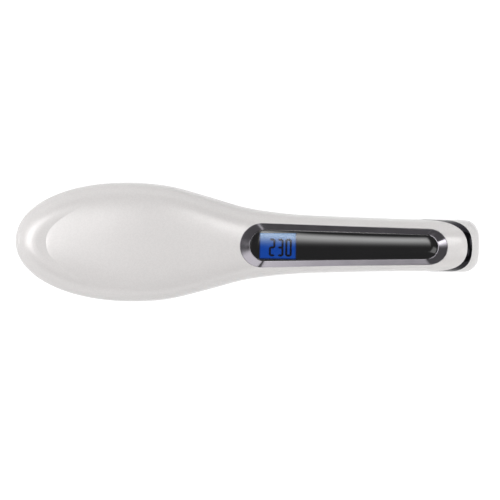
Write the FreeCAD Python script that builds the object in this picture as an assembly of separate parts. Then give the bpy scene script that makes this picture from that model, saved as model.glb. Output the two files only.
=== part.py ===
"""Hair straightening brush: a heated comb head, a display panel, three keys and a cord swivel.

Axes, in millimetres: X runs along the brush from the head's tip to the end of the handle, Y across
it, and Z up from the plane that it rests on, bristles down and display up. The origin is under the
middle of its length. Every sub-part is one or more closed solids in a STEP file of its own.
"""
import FreeCAD, Part

import math
import os
from functools import lru_cache

Vector = FreeCAD.Vector

# ---------------------------------------------------------------- driving dimensions: outer form
LENGTH = 270.0                # tip of the head to the end of the handle
HEAD_HALF_WIDTH = 34.5        # at the widest section of the head
HEAD_MID = 66.3               # from the tip to the widest section
GRIP_HALF_WIDTH = 15.1        # at the slimmest section of the handle
DOME_TOP = 42.0               # highest point of the head's back
COMB_FACE = 15.0              # face of the comb frame, so also how far the cool bristles stand out
SEAM_RISE = 10.0              # from the comb face up to the seam between the covers, in the head
GRIP_BOTTOM = -0.4            # underside of the handle before its resting strip is cut flat
SWIVEL_Z = 15.5               # height of the cord swivel's axis, which the seam ends on
WALL = 2.2                    # wall of the covers
SEAM_GAP = 0.4                # width and depth of the fine groove along the seam
END_ROUND = 8.5               # radius around the end of the handle
TIP_TOP_ROUND = 16.0          # how far from the tip the back reaches its height
TIP_FACE_ROUND = 9.0          # how far from the tip the underside reaches its height
BROW_DROP = 7.0               # from the dome's top down to the step around the tip of the head
BROW_LENGTH = 59.0            # from the tip to the middle of the step's outline
BROW_ROUND = 12.5             # radius of the step's outer edge
BROW_FOOT_ROUND = 3.0         # radius at the foot of the head's rim
BROW_INSET = 1.2              # how far the step's outline stays inside the widest section

# ---------------------------------------------------------------- driving dimensions: end ring
RING_TOP_BACK = 7.3           # from the end of the handle to the ring's near edge, on the back
RING_WIDTH = 3.9              # along the handle, on the back
RING_SIDE_WIDTH = 8.4         # the same at the seam
RING_UNDER_WIDTH = 3.0        # and underneath
RING_SLOPE = 1.15             # how far the ring runs towards the head for each mm down
RING_PROUD = 0.12
SPIGOT_DEPTH = 3.5            # how far the end cap's spigot reaches into the covers
SPIGOT_WALL = 1.6
SPIGOT_GAP = 0.1

# ---------------------------------------------------------------- driving dimensions: panel
PANEL_HEAD = 143.1            # tip to the centre of the bezel's round end nearest the head
PANEL_SPAN = 97.6             # between the centres of the bezel's round ends
PANEL_HEAD_RADIUS = 12.55
PANEL_TAIL_RADIUS = 10.4
BEZEL_SIDE = 3.0              # width of the bezel beside the lens
BEZEL_END_EXTRA = 2.25        # how much wider the bezel is at its round ends
BEZEL_PROUD = 0.3
BEZEL_GAP = 0.1
BEZEL_CHAMFER = 0.9
LENS_SUNK = 0.9               # how far the lens lies below the covers' surface
FLOOR = 1.6                   # thickness of the ledge under the bezel and lens
FLOOR_LIP = 1.5               # how far that ledge reaches past the bezel
FLOOR_DEPTH = 9.0             # and how far below the handle's back
DISPLAY_HEAD = 141.9          # tip to the edge of the display's window nearest the head
DISPLAY_LENGTH = 21.2
DISPLAY_HALF_WIDTH = 7.75
DISPLAY_GAP = 0.25            # around the display in its window
GLASS = 1.8                   # thickness of the display's cell
LIGHT_BOX = 3.0               # thickness of the light guide behind it
HOLDER_WALL = 0.9
BOARD = 1.6                   # thickness of a circuit board
BOARD_GAP = 0.5               # between a circuit board's long edge and what is beside it
DISPLAY_BOARD_LEAD = 7.0      # how far the display's board runs past the display towards the head
DISPLAY_BOARD_TAIL = 8.0      # and towards the end
RIBBON_HALF_WIDTH = 3.5
RIBBON_SHEET = 0.3
RIBBON_OVERLAP = 3.0          # how far the ribbon cable lies on each board

# ---------------------------------------------------------------- driving dimensions: keys
KEY_HEAD = 147.0              # tip to the first key
KEY_PITCH = 14.0
KEY_COUNT = 3
KEY_RADIUS = 4.2
KEY_GAP = 0.15
KEY_PROUD = 0.7
KEY_TRAVEL = 0.5
KEY_FLANGE = 1.0              # how far a key's flange reaches past its cap, and its thickness
KEY_FLANGE_GAP = 0.12         # between a key's flange and the inset that it rests against
KEY_STEM_RADIUS = 1.9
INSET_RADIUS = 6.6            # of the black inset around the keys
INSET_LIP = 1.4               # how far the inset's inner flange reaches past its opening
INSET_FLANGE = 1.2            # thickness of that flange
SWITCH_HALF = 3.0
SWITCH_HEIGHT = 3.2
PLUNGER_RADIUS = 1.6
PLUNGER_HEIGHT = 1.0
BUTTON_BOARD_Z = 20.6         # underside of the board that carries the switches
BUTTON_BOARD_MARGIN = 7.0     # how far that board runs past the first and last key

# ---------------------------------------------------------------- driving dimensions: power board
POWER_BOARD_LENGTH = 27.0
POWER_BOARD_Z = 12.0          # its underside
COVER_SCREW_LENGTH = 14.0
COVER_BOSS_RADIUS = 3.7
BOSS_GAP = 0.5                # between those screws' bosses and the boards
SCREW_SHANK = 1.25
SCREW_HEAD = 2.4
SCREW_HEAD_HEIGHT = 1.6
SCREW_HEAD_GAP = 0.3          # around a screw head in its recess
PLUG_DEPTH = 2.0
BOARD_BOSS_RADIUS = 2.4
BOARD_SCREW_LENGTH = 4.2
BOARD_EDGE = 2.5              # from a board's edge to its screws
TERMINAL_LENGTH = 4.4
TERMINAL_HEIGHT = 6.0

# ---------------------------------------------------------------- driving dimensions: comb head
COMB_RIM = 3.5                # from the head's tip to the comb frame's tip
COMB_FRONT = 61.5             # the comb frame's outline: two half ellipses
COMB_REAR = 52.0
COMB_HALF_WIDTH = 29.5
COMB_PLATE = 2.2              # thickness of the comb frame's face
COMB_WALL = 1.6
COMB_EDGE_ROUND = 1.0
COMB_GAP = 0.1                # between the comb frame and the front cover
COMB_FLANGE = 1.0             # how far the frame's flange reaches over the cover's lip
COMB_FLANGE_THICK = 1.2
COMB_SEAT = 3.0               # from the comb face up to the cover's lip
PLATE_INSET = 8.5             # from the comb frame's outline to the heat plate's
PLATE_THICK = 2.5
PLATE_RAISE = 1.2             # gap between the comb frame's face and the heat plate
RIB_WIDTH = 1.4               # of the rib that the heat plate sits on
ROW_PITCH = 8.0               # between rows of bristles, and between bristles in a row
FIRST_ROW = 17.0              # tip of the head to the first row
PIN_INSET = 10.7              # heated bristles stay this far inside the comb frame's outline
PIN_ROOT_RADIUS = 1.3
PIN_END_RADIUS = 1.0
PIN_HOLE_GAP = 0.35
TIP_RADIUS = 1.5
TIP_CYLINDER = 2.0
TIP_LIFT = 1.1                # how much shorter the heated bristles are than the cool ones
COOL_INSET = 4.7
COOL_ROOT_RADIUS = 1.3
COOL_END_RADIUS = 0.75
COOL_SHOULDER = 2.4           # height of the rounded end of a cool bristle
POST_INSET = 4.5              # the frame screws' posts, inside the comb frame's outline
POST_RADIUS = 2.6
POST_CLEAR = 4.3              # bristles keep this far from a frame screw
FRAME_SCREW_LENGTH = 9.0
FRAME_SCREW_SUNK = 0.2

# ---------------------------------------------------------------- driving dimensions: heating
HEATER_LENGTH = 48.0
HEATER_WIDTH = 12.0
HEATER_THICK = 2.4
HEATER_SPACING = 3.0          # between the two heaters
HEATER_FRONT = 39.0           # tip of the head to the heaters
MICA = 0.4
CLAMP_THICK = 1.0
CLAMP_OVERHANG = 11.0         # how far the clamp runs past each end of the heaters
CLAMP_HALF_WIDTH = 8.5
CLAMP_SCREW_EDGE = 4.0
CLAMP_SCREW_BITE = 1.8        # how far those screws go into the heat plate
SHIELD_INSET = 10.5
SHIELD_SHEET = 0.4
SHIELD_HEIGHT = 8.2
SENSOR_RADIUS = 1.1
FUSE_RADIUS = 1.6
FUSE_LENGTH = 10.0
LEAD_RADIUS = 0.8
SENSOR_LEAD_RADIUS = 0.5
LEAD_BEND = 2.5
LEAD_LEVEL = 2.3              # how high the leads run over the button board
LEAD_HALF_SPACING = 6.2

# ---------------------------------------------------------------- driving dimensions: cord swivel
INLET_RADIUS = 3.5            # the bore that takes the cord
INLET_DEPTH = 20.0
GLAND_SUNK = 0.6              # the gland's end face, behind the end of the handle
JOURNAL_RADIUS = 5.75
JOURNAL_GAP = 0.05            # running clearance around the journal
GLAND_FLANGE_RADIUS = 8.0
GLAND_FLANGE = 1.5
GLAND_END_GAP = 0.1           # running clearance at each face of the flange
JOURNAL_LENGTH = 16.4
HUB_WALL = 2.1
RETAINER = 1.5
CORE_RADIUS = 4.4             # of the gland's shaft inside the handle
CORE_LENGTH = 12.0
RETAINER_GAP = 0.5
SLIP_RING_WIDTH = 3.0
SLIP_RING_SPACING = 1.8
SLIP_RING_SMALL = 5.0
SLIP_RING_LARGE = 6.0
CONTACT_GAP = 0.05
CONTACT_SHEET = 0.3
CONTACT_HALF_WIDTH = 1.5
BLOCK_LENGTH = 4.0
BLOCK_HALF_WIDTH = 7.5
BLOCK_DEPTH = 7.5             # how far the contact block reaches below the swivel's axis
BLOCK_RISE = 9.0              # and above it
BLOCK_FLANGE = 2.0
BLOCK_FLANGE_REACH = 5.5

# ---------------------------------------------------------------- derived places
TIP_X = -LENGTH / 2
END_X = LENGTH / 2
SEAM_Z = COMB_FACE + SEAM_RISE
FAR = 200.0                   # larger than anything here, for cutting tools


def from_tip(distance):
    """Return the X of a point at a distance from the head's tip."""
    return TIP_X + distance


def blend(share, high, low):
    """Return the value a share of the way from low to high."""
    return low + share * (high - low)


HEAD_MID_X = from_tip(HEAD_MID)

# Stations along the brush. Each is a distance from the tip and what the profile is there.
SIDE = [(x, blend(share, HEAD_HALF_WIDTH, GRIP_HALF_WIDTH)) for x, share in (
    (HEAD_MID, 1.0), (90.0, 0.902), (115.0, 0.567), (135.0, 0.289), (160.0, 0.124),
    (195.0, 0.046), (235.0, 0.0), (270.0, 0.005))]
TOP = [(x, DOME_TOP - drop) for x, drop in (
    (14.0, 8.2), (18.0, 7.05), (24.0, 5.95), (32.0, 4.8), (42.0, 3.5), (54.0, 2.1), (68.0, 0.8),
    (84.0, 0.0), (110.0, 0.5), (135.0, 1.8), (192.0, 5.8), (245.0, 9.5), (270.0, 11.0))]
BELLY = [(x, blend(share, COMB_FACE, GRIP_BOTTOM)) for x, share in (
    (0.0, 1.0), (111.0, 1.0), (135.0, 0.818), (160.0, 0.455), (195.0, 0.156),
    (227.0, 0.0), (270.0, 0.0))]
SEAM = [(x, blend(share, SEAM_Z, SWIVEL_Z)) for x, share in (
    (0.0, 1.0), (110.0, 1.0), (145.0, 0.832), (185.0, 0.421), (225.0, 0.095), (270.0, 0.0))]
BACK_FULLNESS = [(0.0, 2.0), (40.0, 2.0), (80.0, 2.6), (135.0, 2.4), (175.0, 2.3), (270.0, 2.3)]
BELLY_FULLNESS = [(0.0, 4.2), (95.0, 4.2), (135.0, 3.0), (165.0, 2.4), (270.0, 2.3)]
TIP_POWER = 2.2               # roundness of the tip seen from the side
NOSE_POWER = 2.1              # roundness of the head's outline towards the tip
SECTION_POINTS = 40
TIP_STATIONS = (0.12, 0.5, 1.2, 2.2, 3.6, 5.4, 7.7, 10.5, 14.0, 18.5, 24.0, 31.0, 39.0, 48.0, 58.0)
HANDLE_STATIONS = 17
END_STATIONS = 7


# ---------------------------------------------------------------- the outer form
def profile(stations, x):
    """Return the smooth curve through the stations at x: cubic between them, level outside."""
    at = x - TIP_X
    if at <= stations[0][0]:
        return stations[0][1]
    if at >= stations[-1][0]:
        return stations[-1][1]

    def slope(i):
        if i == 0:
            return 0.0
        last = min(i + 1, len(stations) - 1)
        return (stations[last][1] - stations[i - 1][1]) / (stations[last][0] - stations[i - 1][0])

    i = max(k for k in range(len(stations) - 1) if stations[k][0] <= at)
    span = stations[i + 1][0] - stations[i][0]
    t = (at - stations[i][0]) / span
    start, end = stations[i][1], stations[i + 1][1]
    return ((2 * t**3 - 3 * t**2 + 1) * start + (t**3 - 2 * t**2 + t) * slope(i) * span
            + (3 * t**2 - 2 * t**3) * end + (t**3 - t**2) * slope(i + 1) * span)


def rounded(distance, length):
    """Return how full a section is, 0 to 1, at a distance from the end of a rounded nose."""
    if distance >= length:
        return 1.0
    return (1 - ((length - distance) / length) ** TIP_POWER) ** (1 / TIP_POWER)


def section_sizes(x, offset):
    """Return the seam's height, half width, height above and depth below it at x."""
    seam = profile(SEAM, x)
    if x < HEAD_MID_X:
        reach = min(1.0, (HEAD_MID_X - x) / (HEAD_MID + offset))
        half = (HEAD_HALF_WIDTH + offset) * (1 - reach**NOSE_POWER) ** (1 / NOSE_POWER)
    else:
        half = profile(SIDE, x) + offset
    from_nose = x - (TIP_X - offset)
    above = (profile(TOP, x) - seam + offset) * rounded(from_nose, TIP_TOP_ROUND)
    below = (seam - profile(BELLY, x) + offset) * rounded(from_nose, TIP_FACE_ROUND)
    radius = END_ROUND + offset
    to_end = END_X + offset - x
    if to_end < radius:
        draw_in = radius - math.sqrt(max(0.0, radius**2 - (radius - to_end) ** 2))
        half, above, below = half - draw_in, above - draw_in, below - draw_in
    return seam, half, above, below


def skin_top(x, y, offset=0.0):
    """Return the height of the offset form's back at (x, y)."""
    seam, half, above, _ = section_sizes(x, offset)
    power = profile(BACK_FULLNESS, x)
    return seam + above * (1 - (abs(y) / half) ** power) ** (1 / power)


def skin_bottom(x, y, offset=0.0):
    """Return the height of the offset form's underside at (x, y)."""
    seam, half, _, below = section_sizes(x, offset)
    power = profile(BELLY_FULLNESS, x)
    return seam - below * (1 - (abs(y) / half) ** power) ** (1 / power)


def inside_half_width(x, z, offset):
    """Return the half width of the offset form at x and height z."""
    seam, half, above, below = section_sizes(x, offset)
    height = above if z > seam else below
    power = profile(BACK_FULLNESS if z > seam else BELLY_FULLNESS, x)
    return half * (1 - (abs(z - seam) / height) ** power) ** (1 / power)


def section_wire(x, offset):
    """Return the closed cross-section of the offset form at x: a superellipse above and below."""
    seam, half, above, below = section_sizes(x, offset)
    points = []
    for i in range(SECTION_POINTS):
        turn = 2 * math.pi * i / SECTION_POINTS - math.pi / 2
        upper = math.sin(turn) >= 0
        height = above if upper else below
        power = profile(BACK_FULLNESS if upper else BELLY_FULLNESS, x)
        angle = math.atan2(height * math.sin(turn), half * math.cos(turn))
        reach = ((abs(math.cos(angle)) / half) ** power
                 + (abs(math.sin(angle)) / height) ** power) ** (-1 / power)
        points.append(Vector(x, reach * math.cos(angle), seam + reach * math.sin(angle)))
    curve = Part.BSplineCurve()
    knots = [i / SECTION_POINTS for i in range(SECTION_POINTS + 1)]
    curve.interpolate(Points=points, PeriodicFlag=True, Parameters=knots)
    return Part.Wire([curve.toShape()])


@lru_cache(maxsize=None)
def skin(offset):
    """Return the closed solid of the brush's form, moved out (or in, if negative) by offset."""
    tip = TIP_X - offset
    places = [tip + distance for distance in TIP_STATIONS]
    last = END_X - END_ROUND
    step = (last - places[-1]) / HANDLE_STATIONS
    places += [places[-1] + step * i for i in range(1, HANDLE_STATIONS + 1)]
    radius = END_ROUND + offset
    end = END_X + offset
    angles = [math.pi / 2 * i / END_STATIONS for i in range(1, END_STATIONS + 1)]
    places += [end - radius * (1 - math.sin(angle)) for angle in angles]
    wires = [section_wire(x, offset) for x in places]
    return Part.makeLoft(wires, True, False, False, 5)


def layer(outer, inner):
    """Return what lies between two offsets of the form."""
    return skin(outer).cut(skin(inner))


# ---------------------------------------------------------------- simple solids
def box(x, y, z):
    """Return a box from three (low, high) ranges."""
    size = (x[1] - x[0], y[1] - y[0], z[1] - z[0])
    return Part.makeBox(*size, Vector(x[0], y[0], z[0]))


def upright(radius, x, y, z):
    """Return a cylinder along Z over the range z."""
    return Part.makeCylinder(radius, z[1] - z[0], Vector(x, y, z[0]))


def lengthwise(radius, x, y, z):
    """Return a cylinder along X over the range x."""
    return Part.makeCylinder(radius, x[1] - x[0], Vector(x[0], y, z), Vector(1, 0, 0))


def turned(points, x, y):
    """Return the solid turned about the vertical at (x, y) from (radius, height) points."""
    corners = [Vector(radius, 0, height) for radius, height in points]
    face = Part.Face(Part.makePolygon(corners + corners[:1]))
    solid = face.revolve(Vector(0, 0, 0), Vector(0, 0, 1), 360)
    solid.translate(Vector(x, y, 0))
    return solid


def slot(head, tail, z):
    """Return the prism over z of two circles, (x, radius) each, and the tangents between them."""
    (x0, r0), (x1, r1) = head, tail
    lean = math.acos((r0 - r1) / (x1 - x0))
    start = [Vector(x0 + r0 * math.cos(a), r0 * math.sin(a), z[0]) for a in (lean, math.pi, -lean)]
    end = [Vector(x1 + r1 * math.cos(a), r1 * math.sin(a), z[0]) for a in (-lean, 0.0, lean)]
    edges = [Part.Arc(*start).toShape(), Part.LineSegment(start[2], end[0]).toShape(),
             Part.Arc(*end).toShape(), Part.LineSegment(end[2], start[0]).toShape()]
    return Part.Face(Part.Wire(edges)).extrude(Vector(0, 0, z[1] - z[0]))


def ring_slab(start, end):
    """Return the slanting slab between two distances along X from the end ring's near edge.

    From the ring's far edge on, the slab's faces are flat. Up to its near edge they bow towards
    the head, so that the ring is widest at the seam.
    """
    top_x = END_X - RING_TOP_BACK
    top_z = profile(TOP, top_x)

    def line(shift):
        def corner(z, width):
            bow = RING_WIDTH - width if shift < RING_WIDTH else 0.0
            return Vector(top_x + shift + bow - RING_SLOPE * (top_z - z), -FAR, z)
        return [corner(-FAR, RING_UNDER_WIDTH), corner(0.0, RING_UNDER_WIDTH),
                corner(SWIVEL_Z, RING_SIDE_WIDTH), corner(top_z, RING_WIDTH),
                corner(FAR, RING_WIDTH)]

    corners = line(start) + line(end)[::-1]
    return Part.Face(Part.makePolygon(corners + corners[:1])).extrude(Vector(0, 2 * FAR, 0))


def seam_side(sign, shift=0.0):
    """Return the block above (sign 1) or below (-1) the seam surface, raised by shift."""
    count = 24
    xs = [TIP_X - WALL + i * (LENGTH + 2 * WALL) / count for i in range(count + 1)]
    curve = Part.BSplineCurve()
    curve.interpolate([Vector(x, -FAR, profile(SEAM, x) + shift) for x in xs])
    far_z = sign * FAR
    first = Vector(xs[0], -FAR, profile(SEAM, xs[0]) + shift)
    last = Vector(xs[-1], -FAR, profile(SEAM, xs[-1]) + shift)
    corners = [last, Vector(last.x, -FAR, far_z), Vector(first.x, -FAR, far_z), first]
    sides = [Part.LineSegment(a, b).toShape() for a, b in zip(corners, corners[1:])]
    return Part.Face(Part.Wire([curve.toShape()] + sides)).extrude(Vector(0, 2 * FAR, 0))


def under_back(depth):
    """Return the block over the panel, down to a depth below the handle's back."""
    ends = (PANEL_X[0] - 2 * PANEL_HEAD_RADIUS, PANEL_X[1] + 2 * PANEL_TAIL_RADIUS)
    low = [Vector(x, -FAR, profile(TOP, x) - depth) for x in ends]
    high = [Vector(point.x, -FAR, FAR) for point in reversed(low)]
    return Part.Face(Part.makePolygon(low + high + low[:1])).extrude(Vector(0, 2 * FAR, 0))


def fused(shapes):
    """Return one shape of all those given."""
    shapes = list(shapes)
    return shapes[0].multiFuse(shapes[1:])


def cut_all(shape, tools):
    """Return the shape less every tool."""
    return shape.cut(Part.Compound(list(tools)))


# ---------------------------------------------------------------- the comb head's outline
COMB_X = from_tip(COMB_RIM + COMB_FRONT)


def comb_half_width(x, inset):
    """Return the half width at x of the comb frame's outline, drawn in by inset."""
    reach = (COMB_FRONT if x < COMB_X else COMB_REAR) - inset
    share = min(1.0, abs(x - COMB_X) / reach)
    return (COMB_HALF_WIDTH - inset) * math.sqrt(1 - share**2)


def half_ellipse(reach, half_width, z, sign):
    """Return the half ellipse of the outline on one side of its middle."""
    long_axis = reach >= half_width
    centre = Vector(COMB_X, 0, z)
    along = Vector(COMB_X + sign * reach, 0, z)
    across = Vector(COMB_X, half_width, z)
    ellipse = Part.Ellipse(along, across, centre) if long_axis else Part.Ellipse(across, along, centre)
    start = ellipse.parameter(across)
    end = ellipse.parameter(Vector(COMB_X, -half_width, z))
    middle = ellipse.parameter(along)
    if not start < middle < (end if end > start else end + 2 * math.pi):
        start, end = end, start
    return Part.ArcOfEllipse(ellipse, start, end).toShape()


def comb_prism(inset, z):
    """Return the prism over z of the comb frame's outline, drawn in by inset."""
    half = COMB_HALF_WIDTH - inset
    front = half_ellipse(COMB_FRONT - inset, half, z[0], -1)
    rear = half_ellipse(COMB_REAR - inset, half, z[0], 1)
    return Part.Face(Part.Wire([front, rear])).extrude(Vector(0, 0, z[1] - z[0]))


FRAME_SCREWS = [(COMB_X - COMB_FRONT + POST_INSET, 0.0), (COMB_X + COMB_REAR - POST_INSET, 0.0),
                (COMB_X, COMB_HALF_WIDTH - POST_INSET), (COMB_X, POST_INSET - COMB_HALF_WIDTH)]
FRAME_INNER = COMB_FACE + COMB_PLATE
PLATE_Z = FRAME_INNER + PLATE_RAISE
PLATE_TOP = PLATE_Z + PLATE_THICK


def row_places():
    """Return the X of every row of bristles."""
    last = COMB_X + COMB_REAR - COOL_INSET - ROW_PITCH / 2
    count = int((last - from_tip(FIRST_ROW)) // ROW_PITCH) + 1
    return [from_tip(FIRST_ROW) + i * ROW_PITCH for i in range(count)]


def clear_of_screws(x, y):
    """Tell whether a bristle at (x, y) keeps clear of the frame screws."""
    return all(math.hypot(x - sx, y - sy) > POST_CLEAR for sx, sy in FRAME_SCREWS)


def pin_places():
    """Return the (x, y) of every heated bristle, staggered from row to row."""
    places = []
    for row, x in enumerate(row_places()):
        reach = comb_half_width(x, PIN_INSET)
        shift = ROW_PITCH / 2 * (row % 2)
        span = int((reach + ROW_PITCH) // ROW_PITCH)
        across = [shift + i * ROW_PITCH for i in range(-span - 1, span + 1)]
        places += [(x, y) for y in across if abs(y) <= reach]
    return places


def cool_places():
    """Return the (x, y) of every cool bristle, at both ends of each row."""
    ends = [(x, side * comb_half_width(x, COOL_INSET)) for x in row_places() for side in (-1, 1)]
    return [(x, y) for x, y in ends if clear_of_screws(x, y)]


# ---------------------------------------------------------------- the panel's places
PANEL_X = (from_tip(PANEL_HEAD), from_tip(PANEL_HEAD + PANEL_SPAN))
DISPLAY_X = (from_tip(DISPLAY_HEAD), from_tip(DISPLAY_HEAD + DISPLAY_LENGTH))
DISPLAY_TOP = skin_top(DISPLAY_X[1], DISPLAY_HALF_WIDTH, -WALL) - DISPLAY_GAP
HOLDER_TOP = DISPLAY_TOP - GLASS
DISPLAY_BOARD_TOP = HOLDER_TOP - LIGHT_BOX - HOLDER_WALL


def panel_slot(grow=0.0):
    """Return the tall prism of the bezel's outline, grown all round."""
    return slot((PANEL_X[0], PANEL_HEAD_RADIUS + grow), (PANEL_X[1], PANEL_TAIL_RADIUS + grow),
                (SWIVEL_Z, FAR))


def lens_slot(grow=0.0):
    """Return the tall prism of the lens's outline, grown all round."""
    head = (PANEL_X[0] + BEZEL_END_EXTRA, PANEL_HEAD_RADIUS - BEZEL_SIDE + grow)
    tail = (PANEL_X[1] - BEZEL_END_EXTRA, PANEL_TAIL_RADIUS - BEZEL_SIDE + grow)
    return slot(head, tail, (SWIVEL_Z, FAR))


# ---------------------------------------------------------------- keys, boards and screws: places
KEY_XS = [from_tip(KEY_HEAD + i * KEY_PITCH) for i in range(KEY_COUNT)]
KEY_NAMES = ("power", "plus", "minus")
SWITCH_Z = BUTTON_BOARD_Z - SWITCH_HEIGHT
STEM_TOP = SWITCH_Z - PLUNGER_HEIGHT
BUTTON_BOARD_X = (KEY_XS[0] - BUTTON_BOARD_MARGIN, KEY_XS[-1] + BUTTON_BOARD_MARGIN)
BUTTON_BOARD_TOP = BUTTON_BOARD_Z + BOARD
BUTTON_BOARD_HALF_WIDTH = inside_half_width(BUTTON_BOARD_X[1], BUTTON_BOARD_TOP, -WALL) - 2 * BOARD_GAP
POWER_BOARD_TOP = POWER_BOARD_Z + BOARD
DISPLAY_BOARD_X = (DISPLAY_X[0] - DISPLAY_BOARD_LEAD, DISPLAY_X[1] + DISPLAY_BOARD_TAIL)
DISPLAY_BOARD_HALF_WIDTH = inside_half_width(DISPLAY_BOARD_X[1], DISPLAY_BOARD_TOP, -WALL - FLOOR) - BOARD_GAP
BOSS_REACH = COVER_BOSS_RADIUS + BOSS_GAP
KEYS_END = KEY_XS[-1] + max(INSET_RADIUS + INSET_LIP, BUTTON_BOARD_MARGIN)
POWER_BOARD_X = (KEYS_END + 2 * BOSS_REACH, KEYS_END + 2 * BOSS_REACH + POWER_BOARD_LENGTH)
POWER_BOARD_HALF_WIDTH = inside_half_width(POWER_BOARD_X[1], POWER_BOARD_Z, -WALL) - 2 * BOARD_GAP
COVER_SCREWS = (KEYS_END + BOSS_REACH, POWER_BOARD_X[1] + BOSS_REACH)


def corners_of(x, half_width):
    """Return the screw places near the four corners of a board."""
    return [(px, side * (half_width - BOARD_EDGE))
            for px in (x[0] + BOARD_EDGE, x[1] - BOARD_EDGE) for side in (-1, 1)]


BOARD_BITE = BOARD_SCREW_LENGTH - BOARD
DISPLAY_SCREWS = corners_of(DISPLAY_BOARD_X, DISPLAY_BOARD_HALF_WIDTH)
BUTTON_SCREWS = corners_of(BUTTON_BOARD_X, BUTTON_BOARD_HALF_WIDTH)
POWER_SCREWS = corners_of(POWER_BOARD_X, POWER_BOARD_HALF_WIDTH)


def screw(x, y, seat, length, up):
    """Return a pan head screw whose head sits on seat and whose shank runs up (1) or down (-1)."""
    shank = sorted((seat, seat + up * length))
    head = sorted((seat, seat - up * SCREW_HEAD_HEIGHT))
    return fused([upright(SCREW_SHANK, x, y, shank), upright(SCREW_HEAD, x, y, head)])


def cover_screw_seat(x):
    """Return the height that a cover screw's head sits against, in its recess."""
    return profile(SEAM, x) - WALL - 1.0


# ---------------------------------------------------------------- the cord swivel's places
HUB_RADIUS = GLAND_FLANGE_RADIUS + 0.3 + HUB_WALL
GLAND_END = END_X - GLAND_SUNK
FLANGE_X = (GLAND_END - JOURNAL_LENGTH - GLAND_FLANGE, GLAND_END - JOURNAL_LENGTH)
HUB_MOUTH = FLANGE_X[1] + GLAND_END_GAP
RETAINER_X = (FLANGE_X[0] - GLAND_END_GAP - RETAINER, FLANGE_X[0] - GLAND_END_GAP)
CORE_X = (FLANGE_X[0] - CORE_LENGTH, FLANGE_X[0])
RING_X = [(CORE_X[0] + 1.5 + i * (SLIP_RING_WIDTH + SLIP_RING_SPACING),
           CORE_X[0] + 1.5 + i * (SLIP_RING_WIDTH + SLIP_RING_SPACING) + SLIP_RING_WIDTH)
          for i in range(2)]
RING_RADII = (SLIP_RING_SMALL, SLIP_RING_LARGE)
BLOCK_X = (CORE_X[0] - 1.0 - BLOCK_LENGTH, CORE_X[0] - 1.0)
BLOCK_Z = (SWIVEL_Z - BLOCK_DEPTH, SWIVEL_Z + BLOCK_RISE)
BLOCK_SCREW_X = BLOCK_X[0] - BLOCK_FLANGE_REACH / 2
BLOCK_SCREWS = [(BLOCK_SCREW_X, -4.0), (BLOCK_SCREW_X, 4.0)]


# ---------------------------------------------------------------- covers
def brow():
    """Return the raised rim around the head's tip: a level step with a rounded outer edge."""
    top = DOME_TOP - BROW_DROP
    middle = from_tip(BROW_LENGTH)
    ellipse = Part.Ellipse(Vector(middle, 0, COMB_FACE), BROW_LENGTH, HEAD_HALF_WIDTH - BROW_INSET)
    block = Part.Face(Part.Wire([ellipse.toShape()])).extrude(Vector(0, 0, top - COMB_FACE))
    upper = [edge for edge in block.Edges if edge.BoundBox.ZMin > top - 1]
    block = block.makeFillet(BROW_ROUND, upper)
    lower = [edge for edge in block.Edges if edge.BoundBox.ZMax < COMB_FACE + 1]
    return block.makeFillet(BROW_FOOT_ROUND, lower)


@lru_cache(maxsize=None)
def shell():
    """Return the hollow outer form ahead of the end ring, flat where it rests, grooved at the seam."""
    outer = skin(0.0).fuse(brow())
    hollow = outer.cut(skin(-WALL))
    ahead = ring_slab(-2 * FAR, 0.0)
    above_floor = box((-FAR, FAR), (-FAR, FAR), (0.0, FAR))
    groove = seam_side(1, -SEAM_GAP / 2).common(seam_side(-1, SEAM_GAP / 2)).cut(skin(-SEAM_GAP))
    return hollow.common(ahead).common(above_floor).cut(groove)


def post(x, y, bottom, radius, limit=-WALL / 2):
    """Return a post from a height up into the back cover, with its pilot hole left for later."""
    return upright(radius, x, y, (bottom, FAR)).common(skin(limit))


def boss(x, y, top, radius, limit=-WALL / 2):
    """Return a boss from the front cover up to a height."""
    return upright(radius, x, y, (-FAR, top)).common(skin(limit))


def back_cover():
    """The cover with the display panel: a shell above the seam, its ledge, posts and pilot holes."""
    cover = shell().common(seam_side(1)).cut(panel_slot(BEZEL_GAP))
    floor = layer(-WALL, -WALL - FLOOR).common(panel_slot(FLOOR_LIP)).common(under_back(FLOOR_DEPTH))
    window = box((DISPLAY_X[0] - DISPLAY_GAP, DISPLAY_X[1] + DISPLAY_GAP),
                 (-DISPLAY_HALF_WIDTH - DISPLAY_GAP, DISPLAY_HALF_WIDTH + DISPLAY_GAP), (0, FAR))
    under_panel = -WALL - FLOOR / 2
    pieces = [cover, floor.cut(window)]
    pieces += [post(x, y, FRAME_INNER, POST_RADIUS) for x, y in FRAME_SCREWS]
    pieces += [post(x, y, DISPLAY_BOARD_TOP, BOARD_BOSS_RADIUS, under_panel)
               for x, y in DISPLAY_SCREWS]
    pieces += [post(x, 0.0, profile(SEAM, x), COVER_BOSS_RADIUS, under_panel) for x in COVER_SCREWS]
    pieces += [post(x, y, BLOCK_Z[1], BOARD_BOSS_RADIUS, under_panel) for x, y in BLOCK_SCREWS]
    body = fused(pieces)
    holes = [upright(SCREW_SHANK, x, y, (FRAME_INNER - 1, FRAME_INNER + FRAME_SCREW_LENGTH))
             for x, y in FRAME_SCREWS]
    holes += [upright(SCREW_SHANK, x, y, (DISPLAY_BOARD_TOP - BOARD, DISPLAY_BOARD_TOP + BOARD_BITE))
              for x, y in DISPLAY_SCREWS]
    holes += [upright(SCREW_SHANK, x, 0.0, (0.0, cover_screw_seat(x) + COVER_SCREW_LENGTH))
              for x in COVER_SCREWS]
    holes += [upright(SCREW_SHANK, x, y, (BLOCK_Z[1] - 1, BLOCK_Z[1] + BOARD_SCREW_LENGTH))
              for x, y in BLOCK_SCREWS]
    return cut_all(body, holes)


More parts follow.
